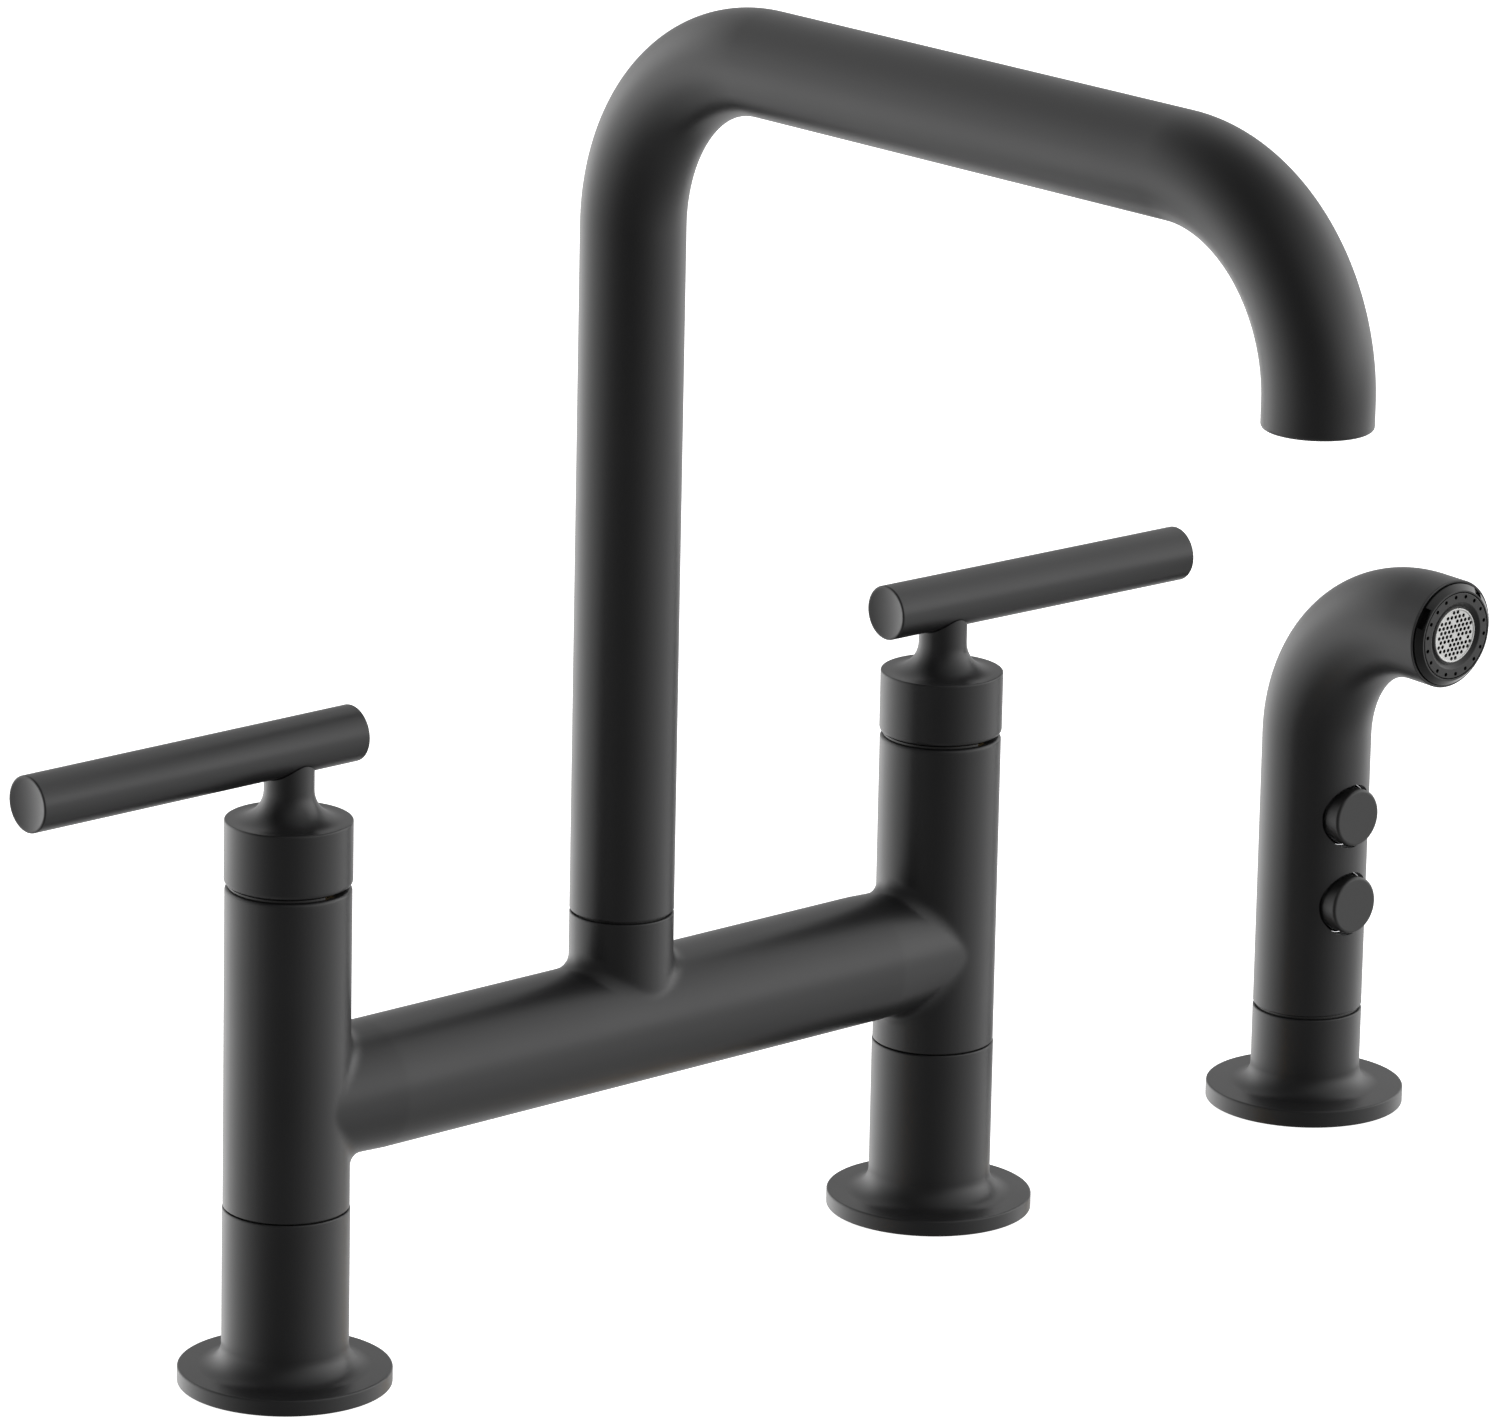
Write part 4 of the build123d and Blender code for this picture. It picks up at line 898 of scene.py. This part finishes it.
def rim(bm, axis, height, outline):
    """Closes the open end of a round at that height: its edge loop follows the outline."""
    edges = [
        e for e in bm.edges
        if e.is_boundary
        and all(abs(v.co.z - height) < FIT for v in e.verts)
        and all((v.co.xy - axis.xy).length < END_REACH for v in e.verts)
    ]
    for point in outline:
        if point is not outline[0]:
            made = bmesh.ops.extrude_edge_only(bm, edges=edges)["geom"]
            edges = [g for g in made if isinstance(g, bmesh.types.BMEdge)]
        for v in {v for e in edges for v in e.verts}:
            out = (v.co.xy - axis.xy).normalized() * point.x
            v.co = (axis.x + out.x, axis.y + out.y, point.y)
    bmesh.ops.edgeloop_fill(bm, edges=edges)


def bridge_casting():
    """The casting's skin with its seams' edges and the bores that open at them."""
    blank = mesh_object("bridge_casting", bmesh.new())
    low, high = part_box("bridge_body")
    worked(
        blank, "bridge_casting", cast, "matte_black",
        Half_Spacing=half_spacing, Post_Radius=POST_RADIUS, Bridge_Radius=BRIDGE_RADIUS,
        Bridge_Height=BRIDGE_HEIGHT, Neck_Radius=BRIDGE_NECK, Neck_Length=BRIDGE_NECK_LENGTH,
        Socket_Radius=SOCKET_RADIUS, Post_Blend=POST_BLEND, Socket_Blend=SOCKET_BLEND,
        Bottom=low.z - CASTING_MARGIN, Top=high.z + CASTING_MARGIN, Grid=CASTING_GRID,
    )
    bm = bmesh.new()
    bm.from_mesh(blank.data)
    ends = []  # axis, way in along z, and outline from where the skin stops
    for axis in post_axes.values():
        ends.append((axis, 1, [
            (POST_RADIUS, low.z + RIM_DEPTH), (POST_RADIUS, low.z + SEAM_SLOT, LIP),
            (POST_RADIUS - SEAM_DEPTH, low.z + SEAM_SLOT), (POST_RADIUS - SEAM_DEPTH, low.z),
            (SHANK_HOLE, low.z), (SHANK_HOLE, low.z + SHANK_DEPTH),
        ]))
        ends.append((axis, -1, [
            (POST_RADIUS, high.z - RIM_DEPTH), (POST_RADIUS, high.z, POST_EDGE),
            (BONNET_HOLE, high.z), (BONNET_HOLE, high.z - BONNET_DEPTH),
            (CARTRIDGE_HOLE, high.z - BONNET_DEPTH), (CARTRIDGE_HOLE, high.z - CARTRIDGE_DEPTH),
        ]))
    ends.append((Vector(), -1, [
        (SOCKET_RADIUS, SOCKET_TOP - RIM_DEPTH), (SOCKET_RADIUS, SOCKET_TOP, LIP),
        (NIPPLE_HOLE, SOCKET_TOP), (NIPPLE_HOLE, SOCKET_TOP - NIPPLE_DEPTH),
        (DIVERTER_HOLE, SOCKET_TOP - NIPPLE_DEPTH), (DIVERTER_HOLE, DIVERTER_FLOOR),
    ]))
    for axis, inwards, corners in ends:
        plane = corners[0][1]
        near = [f for f in bm.faces if (f.calc_center_median().xy - axis.xy).length < END_REACH]
        near_edges = dict.fromkeys(e for f in near for e in f.edges)
        near_verts = dict.fromkeys(v for f in near for v in f.verts)
        bmesh.ops.bisect_plane(
            bm, geom=[*near, *near_edges, *near_verts], dist=1e-7, plane_co=(0, 0, plane),
            plane_no=(0, 0, 1),
        )
        gone = [
            v for v in bm.verts
            if (v.co.xy - axis.xy).length < END_REACH and (v.co.z - plane) * inwards < -1e-6
        ]
        bmesh.ops.delete(bm, geom=gone, context="VERTS")
    for axis, _, corners in ends:
        rim(bm, axis, corners[0][1], rounded(corners, closed=False))
    bpy.data.objects.remove(blank)
    dress(mesh_object("bridge_casting", bm), "faucet_body", "matte_black", "bridge_body")


bridge_casting()

# ---- spout
class Path:
    """Straight runs joined by arcs at a constant x; gives a place at any length along it."""

    def __init__(self, points, radii):
        self.parts = []
        self.length = 0.0
        self.bends = []
        start = points[0]
        for before, corner, after, radius in zip(points, points[1:], points[2:], radii):
            heading = (corner - before).normalized()
            leaving = (after - corner).normalized()
            angle = heading.angle(leaving)
            reach = radius * math.tan(angle / 2)
            self.run(start, heading, (corner - start).length - reach)
            self.bends.append((self.length, self.length + radius * angle))
            towards = (leaving - heading * heading.dot(leaving)).normalized()
            self.run(corner - heading * reach, heading, radius * angle, towards, radius)
            start = corner + leaving * reach
        self.run(start, (points[-1] - points[-2]).normalized(), (points[-1] - start).length)

    def run(self, start, heading, length, towards=None, radius=0.0):
        """Adds a straight run, or an arc that turns towards a direction."""
        self.parts.append((self.length, length, start, heading, towards, radius))
        self.length += length

    def place(self, along):
        """Matrix with its z along the path, at that length."""
        begun, length, start, heading, towards, radius = next(
            (p for p in self.parts if along <= p[0] + p[1]), self.parts[-1]
        )
        run = along - begun
        if towards is None:
            return along_axis(start + heading * run, heading, ACROSS)
        angle = run / radius
        sine, cosine = math.sin(angle), math.cos(angle)
        where = start + heading * (radius * sine) + towards * (radius * (1 - cosine))
        return along_axis(where, heading * cosine + towards * sine, ACROSS)


def bent_tube(name, path, corners):
    """A tube along a path: the outline's heights are lengths along it."""
    outline = rounded(corners)
    bm = bmesh.new()
    rings = []
    for point, after in zip(outline, outline[1:] + outline[:1]):
        stops = [point]
        run = after - point
        for begin, end in path.bends:
            if abs(run.y) > 2 * BEND_STEP:
                count = int((end - begin) / BEND_STEP)
                heights = [begin + (end - begin) * k / count for k in range(count + 1)]
                shares = [(height - point.y) / run.y for height in heights]
                stops += [point + run * share for share in shares if 0 < share < 1]
        stops.sort(key=lambda stop: abs(stop.y - point.y))
        for stop in stops:
            place = path.place(stop.y) @ Matrix.Translation((0, 0, -stop.y))
            rings.append(ring(bm, place, stop.x, stop.y, ROUND))
    for low, high in zip(rings, rings[1:] + rings[:1]):
        join_rings(bm, low, high)
    return mesh_object(name, bm)


outlet = centre_of("aerator_screen")
spout_low, spout_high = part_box("spout_tube")
spout_path = Path(
    [
        Vector((0, 0, spout_low.z)),
        Vector((0, 0, ARM_HEIGHT)),
        Vector((0, outlet.y, ARM_HEIGHT - outlet.y * math.tan(math.radians(ARM_RISE)))),
        Vector((0, outlet.y, OUTLET_HEIGHT)),
    ],
    [REAR_BEND, FRONT_BEND],
)
end = spout_path.length
spout_skin = bent_tube("spout_skin", spout_path, [
    (SPOUT_BORE, 0.0), (SPOUT_RADIUS, 0.0, LIP), (SPOUT_RADIUS, end, OUTLET_EDGE),
    (AERATOR_SEAT, end), (AERATOR_SEAT, end - AERATOR_DEPTH), (SPOUT_BORE, end - AERATOR_DEPTH),
])
dress(spout_skin, "spout", "matte_black", "spout_tube")

slip_low, slip_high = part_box("spout_slip_ring")
slip_ring = lathe("slip_ring", [
    (SPOUT_BORE, slip_low.z), (SOCKET_RADIUS - SEAM_DEPTH, slip_low.z),
    (SOCKET_RADIUS - SEAM_DEPTH, slip_high.z), (SPOUT_BORE, slip_high.z),
])
dress(slip_ring, "faucet_body", "black_plastic", "spout_slip_ring")

# ---- spray holder and guide
holder = flared_foot(
    "holder_body", "spray_holder", HOLDER_RADIUS, HOLDER_THICKNESS, HOLDER_BLEND, GUIDE_HOLE
)
dress(holder, "faucet_body", "matte_black", "spray_holder")

# ---- spray handset
shell_low, shell_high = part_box("spray_body")
foot = Vector((spray_axis.x, spray_axis.y, shell_low.z))
bend_angle = math.radians(SPRAY_BEND_ANGLE)
bend_reach = SPRAY_BEND * math.tan(bend_angle / 2)
bend_corner = Vector((foot.x, foot.y, SPRAY_BEND_START + bend_reach))
face_out = Vector((0, -math.sin(bend_angle), math.cos(bend_angle)))
face_centre = bend_corner + face_out * (bend_reach + SPRAY_NOSE)
shell_path = Path([foot, bend_corner, face_centre], [SPRAY_BEND])
nose = shell_path.length
shell = bent_tube("handset_shell", shell_path, [
    (COUPLING_HOLE, 0.0), (SPRAY_RADIUS, 0.0, LIP), (SPRAY_RADIUS, nose, SPRAY_EDGE),
    (SPRAY_RADIUS - FACE_RIM, nose, SPRAY_EDGE), (SPRAY_RADIUS - FACE_RIM, nose - COLLAR_BACK),
    (SPRAY_RADIUS - SPRAY_WALL, nose - COLLAR_BACK), (SPRAY_RADIUS - SPRAY_WALL, SPRAY_FLOOR),
    (COUPLING_HOLE, SPRAY_FLOOR),
])
button_centres = {}
for level in ("upper", "lower"):
    button_low, button_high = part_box(f"{level}_button")
    button_centres[level] = Vector((foot.x, foot.y, (button_low.z + button_high.z) / 2))
cut(shell, *(
    drill(centre, FORWARD, BUTTON_RECESS, segments=ROUND) for centre in button_centres.values()
))
dress(shell, "spray_handset", "matte_black", "spray_body")

for level, centre in button_centres.items():
    button = lathe(f"{level}_push_button", [
        (0.0, BUTTON_BACK), (BUTTON_RADIUS, BUTTON_BACK, BUTTON_BACK_EDGE),
        (BUTTON_RADIUS, BUTTON_FACE, BUTTON_EDGE), (0.0, BUTTON_FACE),
    ], along_axis(centre, FORWARD))
    dress(button, f"{level}_push", "black_plastic", f"{level}_button", finish="satin_plastic")

# -- spray face
face_place = along_axis(face_centre, face_out, ACROSS)
collar = lathe("face_bayonet_collar", [
    (COLLAR_INNER, -COLLAR_BACK), (COLLAR_OUTER, -COLLAR_BACK),
    (COLLAR_OUTER, COLLAR_STAND, FINE_EDGE), (COLLAR_OUTER - FACE_BEVEL, FACE_FRONT, FINE_EDGE),
    (COLLAR_INNER + FINE_EDGE, FACE_FRONT, COLLAR_EDGE), (COLLAR_INNER, FACE_FRONT - COLLAR_BEVEL),
], face_place)
notch_low = COLLAR_STAND - NOTCH_DEPTH
notch_high = FACE_FRONT + NOTCH_DEPTH
notches = []
for angle, width in COLLAR_NOTCHES:
    bm = bmesh.new()
    bmesh.ops.create_cube(bm, size=1.0)
    bm.transform(
        face_place @ Matrix.Rotation(math.radians(angle), 4, "Z")
        @ Matrix.Translation((COLLAR_OUTER, 0, (notch_low + notch_high) / 2))
        @ Matrix.Diagonal((2 * NOTCH_REACH, width, notch_high - notch_low, 1.0))
    )
    notches.append(mesh_object("notch", bm))
cut(collar, *notches)
dress(collar, "spray_handset", "black_plastic", "face_collar", finish="gloss_plastic")

groove_floor = FACE_FRONT - FACE_GROOVE_DEPTH
well_floor = FACE_FRONT - SCREEN_WELL_DEPTH
pin_length = 2 * (FACE_BACK + COLLAR_STAND)
nozzle_face = lathe("nozzle_face", [
    (SCREEN_SEAT_HOLE, -FACE_BACK), (FACE_OUTER, -FACE_BACK), (FACE_OUTER, groove_floor),
    (FACE_OUTER - FACE_GROOVE, groove_floor), (FACE_OUTER - FACE_GROOVE, FACE_FRONT, FINE_EDGE),
    (SCREEN_RADIUS + SCREEN_WELL_WIDTH, FACE_FRONT, WELL_EDGE),
    (SCREEN_RADIUS + SCREEN_WELL_FLOOR, well_floor, WELL_CORNER),
    (SCREEN_RADIUS + FIT, well_floor), (SCREEN_RADIUS + FIT, SCREEN_SEAT),
    (SCREEN_SEAT_HOLE, SCREEN_SEAT),
])
worked(
    nozzle_face, "nozzle_circle", pierce_circle, "satin_plastic",
    Count=NOZZLES, Circle_Radius=NOZZLE_CIRCLE, Hole_Radius=NOZZLE_HOLE, Hole_Depth=pin_length,
)
nozzle_place = face_place @ Matrix.Rotation(math.radians(NOZZLE_TURN), 4, "Z")
dress(
    in_place(nozzle_face, nozzle_place), "spray_handset", "black_plastic", "spray_face",
    finish="satin_plastic",
)

screen_top = FACE_FRONT - SCREEN_SINK
plate_top = screen_top - SCREEN_STEP
screen = lathe("perforated_screen", [
    (0.0, plate_top - SCREEN_PLATE), (SCREEN_RADIUS - SCREEN_RIM, plate_top - SCREEN_PLATE),
    (SCREEN_RADIUS - SCREEN_RIM, SCREEN_SEAT), (SCREEN_RADIUS, SCREEN_SEAT),
    (SCREEN_RADIUS, screen_top, SCREEN_EDGE), (SCREEN_RADIUS - SCREEN_RIM, screen_top, SCREEN_EDGE),
    (SCREEN_RADIUS - SCREEN_RIM, plate_top, FIT), (0.0, plate_top),
])
worked(
    screen, "perforated_screen", perforate, "bright_steel",
    Pitch=SCREEN_PITCH, Hole_Radius=SCREEN_HOLE, Field_Radius=SCREEN_FIELD, Hole_Depth=pin_length,
)
dress(
    in_place(screen, face_place), "spray_handset", "stainless", "spray_screen",
    finish="bright_steel",
)

# -- chrome rings round the buttons
ring_front = foot.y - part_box("button_rings")[0].y
ring_back = foot.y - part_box("button_rings")[1].y
dress(
    joined("chrome_button_rings", *(
        lathe(f"{level}_chrome_ring", [
            (CHROME_RING_INNER, ring_back), (CHROME_RING_OUTER, ring_back),
            (CHROME_RING_OUTER, ring_front, CHROME_EDGE),
            (CHROME_RING_INNER, ring_front, CHROME_BEVEL),
        ], along_axis(centre, FORWARD))
        for level, centre in button_centres.items()
    )),
    "spray_handset", "chrome", "button_rings",
)

# ---- springs
def coil_spring(name, place, radius, wire, length, turns):
    """A round wire wound round the local z axis of place."""
    bm = bmesh.new()
    rise = length / turns / math.tau
    rings = []
    for step in range(turns * COIL_STEPS + 1):
        angle = math.tau * step / COIL_STEPS
        out = Vector((math.cos(angle), math.sin(angle), 0))
        heading = Vector((-radius * out.y, radius * out.x, rise))
        centre = out * radius + Vector((0, 0, rise * angle))
        rings.append(ring(bm, place @ along_axis(centre, heading, out), wire, 0.0, WIRE_SEGMENTS))
    for low, high in zip(rings, rings[1:]):
        join_rings(bm, low, high)
    bm.faces.new(rings[0])
    bm.faces.new(rings[-1])
    return mesh_object(name, bm)


SPRINGS = {
    "diverter_spring": ("diverter_shift", "faucet_body", DIVERTER_WIRE, DIVERTER_TURNS),
    "upper_button_spring": ("upper_button_press", "spray_handset", BUTTON_WIRE, BUTTON_TURNS),
    "lower_button_spring": ("lower_button_press", "spray_handset", BUTTON_WIRE, BUTTON_TURNS),
}
joints = {joint["name"]: joint for joint in frame["joints"]}
for node, (joint, body, wire, turns) in SPRINGS.items():
    low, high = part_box(node)
    pressed = Vector(joints[joint]["axis"])
    height = (high - low).dot(pressed)
    still_end = (low + high + pressed * height) / 2
    inset = wire + SPRING_SLACK
    start = along_axis(still_end - pressed * (height - inset), pressed, ACROSS)
    radius = (high.x - low.x) / 2 - wire
    coil = coil_spring(f"{node}_coil", start, radius, wire, height - 2 * inset, turns)
    dress(coil, body, "stainless", node)
    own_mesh(coil)

# ---- threads and nuts under the deck
for side, axis in post_axes.items():
    shank_low, shank_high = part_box(f"{side}_shank")
    relief = shank_low.z + RELIEF_HEIGHT
    shank = threaded(
        f"{side}_threaded_shank", axis, "brass",
        [
            (SHANK_BORE, shank_low.z), (SHANK_RADIUS - THREAD_CHAMFER, shank_low.z),
            (SHANK_RADIUS, shank_low.z + THREAD_CHAMFER), (SHANK_RADIUS, relief),
            (SHANK_RADIUS - RELIEF_DEPTH, relief),
            (SHANK_RADIUS - RELIEF_DEPTH, relief + RELIEF_WIDTH),
            (SHANK_RADIUS, relief + RELIEF_WIDTH), (SHANK_RADIUS, shank_high.z),
            (SHANK_BORE, shank_high.z),
        ],
        [
            (shank_low.z + THREAD_CHAMFER, relief, SHANK_RADIUS),
            (relief + RELIEF_WIDTH, shank_high.z - SHANK_THREAD_END, SHANK_RADIUS),
        ],
        PIPE_PITCH, PIPE_DEPTH,
    )
    dress(shank, "faucet_body", "brass", f"{side}_shank")

guide_low, guide_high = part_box("spray_guide")
lip_radius = (guide_high.x - guide_low.x) / 2
holder_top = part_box("spray_holder")[1].z
guide = threaded(
    "threaded_guide", spray_axis, "black_plastic",
    [
        (GUIDE_BORE, guide_low.z), (GUIDE_RADIUS - GUIDE_DEPTH, guide_low.z),
        (GUIDE_RADIUS, guide_low.z + GUIDE_DEPTH), (GUIDE_RADIUS, GUIDE_THREAD_TOP),
        (GUIDE_RADIUS, holder_top), (lip_radius, holder_top),
        (lip_radius, guide_high.z, GUIDE_EDGE), (GUIDE_BORE + GUIDE_MOUTH, guide_high.z),
        (GUIDE_BORE, guide_high.z - GUIDE_MOUTH),
    ],
    [(guide_low.z + GUIDE_DEPTH, GUIDE_THREAD_TOP, GUIDE_RADIUS)],
    GUIDE_PITCH, GUIDE_DEPTH,
)
dress(guide, "faucet_body", "black_plastic", "spray_guide")

nut_low, nut_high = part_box("shank_nuts")
dress(
    joined("shank_hex_nuts", *(
        hex_nut(f"{side}_nut", axis, NUT_FLATS, SHANK_NUT_BORE, nut_low.z, nut_high.z)
        for side, axis in post_axes.items()
    )),
    "faucet_body", "brass", "shank_nuts",
)
dress(
    hex_nut("spray_hex_nut", spray_axis, NUT_FLATS, GUIDE_NUT_BORE, nut_low.z, nut_high.z),
    "faucet_body", "brass", "spray_nut",
)

# ---- floor, light, camera
turn, rise, roll = (math.radians(angle) for angle in (CAMERA_TURN, CAMERA_RISE, CAMERA_ROLL))
# unit vectors on the level: to the photographer, and to the right of the picture
TO_FRONT = Vector((math.sin(turn), -math.cos(turn), 0))
TO_RIGHT = Vector((math.cos(turn), math.sin(turn), 0))
back = TO_FRONT * math.cos(rise) + UP * math.sin(rise)
up = back.cross(TO_RIGHT)
rolled = TO_RIGHT * math.cos(roll) + up * math.sin(roll)
risen = up * math.cos(roll) - TO_RIGHT * math.sin(roll)
lens = bpy.data.cameras.new("camera")
lens.sensor_width = SENSOR_WIDTH
lens.lens = CAMERA_LENS
lens.clip_start, lens.clip_end = CAMERA_RANGE
camera = bpy.data.objects.new("camera", lens)
camera.matrix_world = Matrix((rolled, risen, back)).transposed().to_4x4()
camera.location = CAMERA_TARGET + back * CAMERA_DISTANCE
bpy.context.scene.collection.objects.link(camera)
bpy.context.scene.camera = camera

# brightness round the studio by (share, value): 0 is behind the faucet, 1 at the camera's side
WORLD_LEFT = [
    (0.0, 0.1), (0.06, 0.16), (0.14, 0.34), (0.22, 0.46), (0.3, 0.42), (0.38, 0.28), (0.5, 0.2),
    (0.71, 0.1), (0.855, 0.05), (0.945, 0.026), (1.0, 0.017),
]
WORLD_RIGHT = [
    (0.0, 0.1), (0.06, 0.16), (0.14, 0.34), (0.25, 0.42), (0.38, 0.44), (0.5, 0.4), (0.71, 0.28),
    (0.855, 0.15), (0.945, 0.06), (1.0, 0.017),
]
# the same by height: share 0.5 is level, 1 overhead
UP_LEFT = [(0.0, 1.0), (0.5, 1.0), (0.62, 0.9), (0.72, 0.6), (0.85, 0.25), (1.0, 0.1)]
UP_RIGHT = [(0.0, 1.0), (0.5, 1.0), (0.64, 0.9), (0.85, 0.5), (1.0, 0.12)]
HORIZON = [(0.49, 0.0), (0.5, 1.0)]
WORLD_STRENGTH = 7.0
# the studio's ground, as the faucet mirrors it
GROUND_LEFT = [
    (0.0, 0.36), (0.05, 0.68), (0.15, 1.0), (0.29, 0.93), (0.5, 0.66), (0.71, 0.375), (0.855, 0.15),
    (1.0, 0.045),
]
GROUND_RIGHT = [
    (0.0, 0.275), (0.05, 0.4), (0.15, 0.64), (0.29, 0.56), (0.5, 0.44), (0.71, 0.32), (0.855, 0.18),
    (1.0, 0.055),
]
DOWN = [(0.0, 0.3), (0.18, 0.5), (0.33, 1.0), (0.5, 1.0)]  # by height, dimmer straight below
GROUND_STRENGTH = 2.8
SIDES_BLEND = 0.35  # width of the change from left to right
FLOOR_RADIUS = 6.0
FLOOR_HEIGHT = -0.2 * MM


def ramp(graph, share, stops):
    """A grey ramp through (share, brightness) stops, driven by a share from 0 to 1."""
    made = graph.add("ShaderNodeValToRGB", Fac=share)
    elements = made.color_ramp.elements
    while len(elements) < len(stops):
        elements.new(0.5)
    for element, (position, value) in zip(elements, stops):
        element.position = position
        element.color = (value, value, value, 1.0)
    return made.outputs["Color"]


def along(graph, source, direction, span=1.0):
    """How far a direction points along another, from 0 for away to 1 for along."""
    unit = graph.add("ShaderNodeVectorMath", {"operation": "NORMALIZE"}, _0=source)
    dot = graph.add(
        "ShaderNodeVectorMath", {"operation": "DOT_PRODUCT"}, _0=unit.outputs[0], _1=direction
    )
    return graph.add(
        "ShaderNodeMapRange", Value=dot.outputs["Value"], From_Min=-span, From_Max=span
    ).outputs["Result"]


def glow(graph, where, strength, *sides):
    """A background with a level and a height ramp on each side of the camera's axis."""
    forwards = along(graph, where, TO_FRONT)
    upwards = along(graph, where, UP)
    left, right = (
        times(graph, ramp(graph, forwards, level), ramp(graph, upwards, height))
        for level, height in sides
    )
    mixed = graph.add(
        "ShaderNodeMix", {"data_type": "RGBA"}, Factor=along(graph, where, TO_RIGHT, SIDES_BLEND),
        A=left, B=right,
    )
    shining = graph.add("ShaderNodeBackground", Color=mixed.outputs["Result"], Strength=strength)
    return shining.outputs[0]


def two_views(graph, seen, others, output):
    """One shader for what the camera sees directly, another for the light on the faucet."""
    direct = graph.add("ShaderNodeLightPath").outputs["Is Camera Ray"]
    pick = graph.add("ShaderNodeMixShader", _0=direct, _1=others, _2=seen)
    graph.join(pick.outputs[0], graph.nodes[output].inputs["Surface"])


def studio_world():
    """Soft boxes beside and behind the faucet, dim overhead and in front, over a pale ground."""
    world = bpy.data.worlds.new("studio")
    world.use_nodes = True
    graph = Graph(world.node_tree)
    where = graph.add("ShaderNodeTexCoord").outputs["Generated"]
    sky = glow(graph, where, WORLD_STRENGTH, (WORLD_LEFT, UP_LEFT), (WORLD_RIGHT, UP_RIGHT))
    ground = glow(graph, where, GROUND_STRENGTH, (GROUND_LEFT, DOWN), (GROUND_RIGHT, DOWN))
    above = ramp(graph, along(graph, where, UP), HORIZON)
    around = graph.add("ShaderNodeMixShader", _0=above, _1=ground, _2=sky)
    backdrop = graph.nodes["Background"]
    backdrop.inputs["Color"].default_value = (1.0, 1.0, 1.0, 1.0)
    two_views(graph, backdrop.outputs[0], around.outputs[0], "World Output")
    bpy.context.scene.world = world


def floor_material():
    """Pale floor for the eye; the light from below passes it, so it reaches every piece alike."""
    material = new_material("pale_floor", Base_Color=(0.9, 0.9, 0.9, 1.0), Roughness=0.9)
    graph = Graph(material.node_tree)
    seen = graph.add(
        "ShaderNodeAddShader", _0=graph.nodes["Principled BSDF"].outputs[0],
        _1=graph.add("ShaderNodeEmission").outputs[0],
    )
    clear = graph.add("ShaderNodeBsdfTransparent")
    two_views(graph, seen.outputs[0], clear.outputs[0], "Material Output")
    return material


def lay_floor():
    """A wide round floor just under the flanges."""
    bm = bmesh.new()
    bmesh.ops.create_circle(bm, cap_ends=True, segments=96, radius=FLOOR_RADIUS)
    floor = mesh_object("floor", bm)
    floor.location = (CAMERA_TARGET.x, CAMERA_TARGET.y, FLOOR_HEIGHT)
    floor.data.materials.append(floor_material())


studio_world()
lay_floor()
bpy.context.scene.view_settings.view_transform = "Standard"
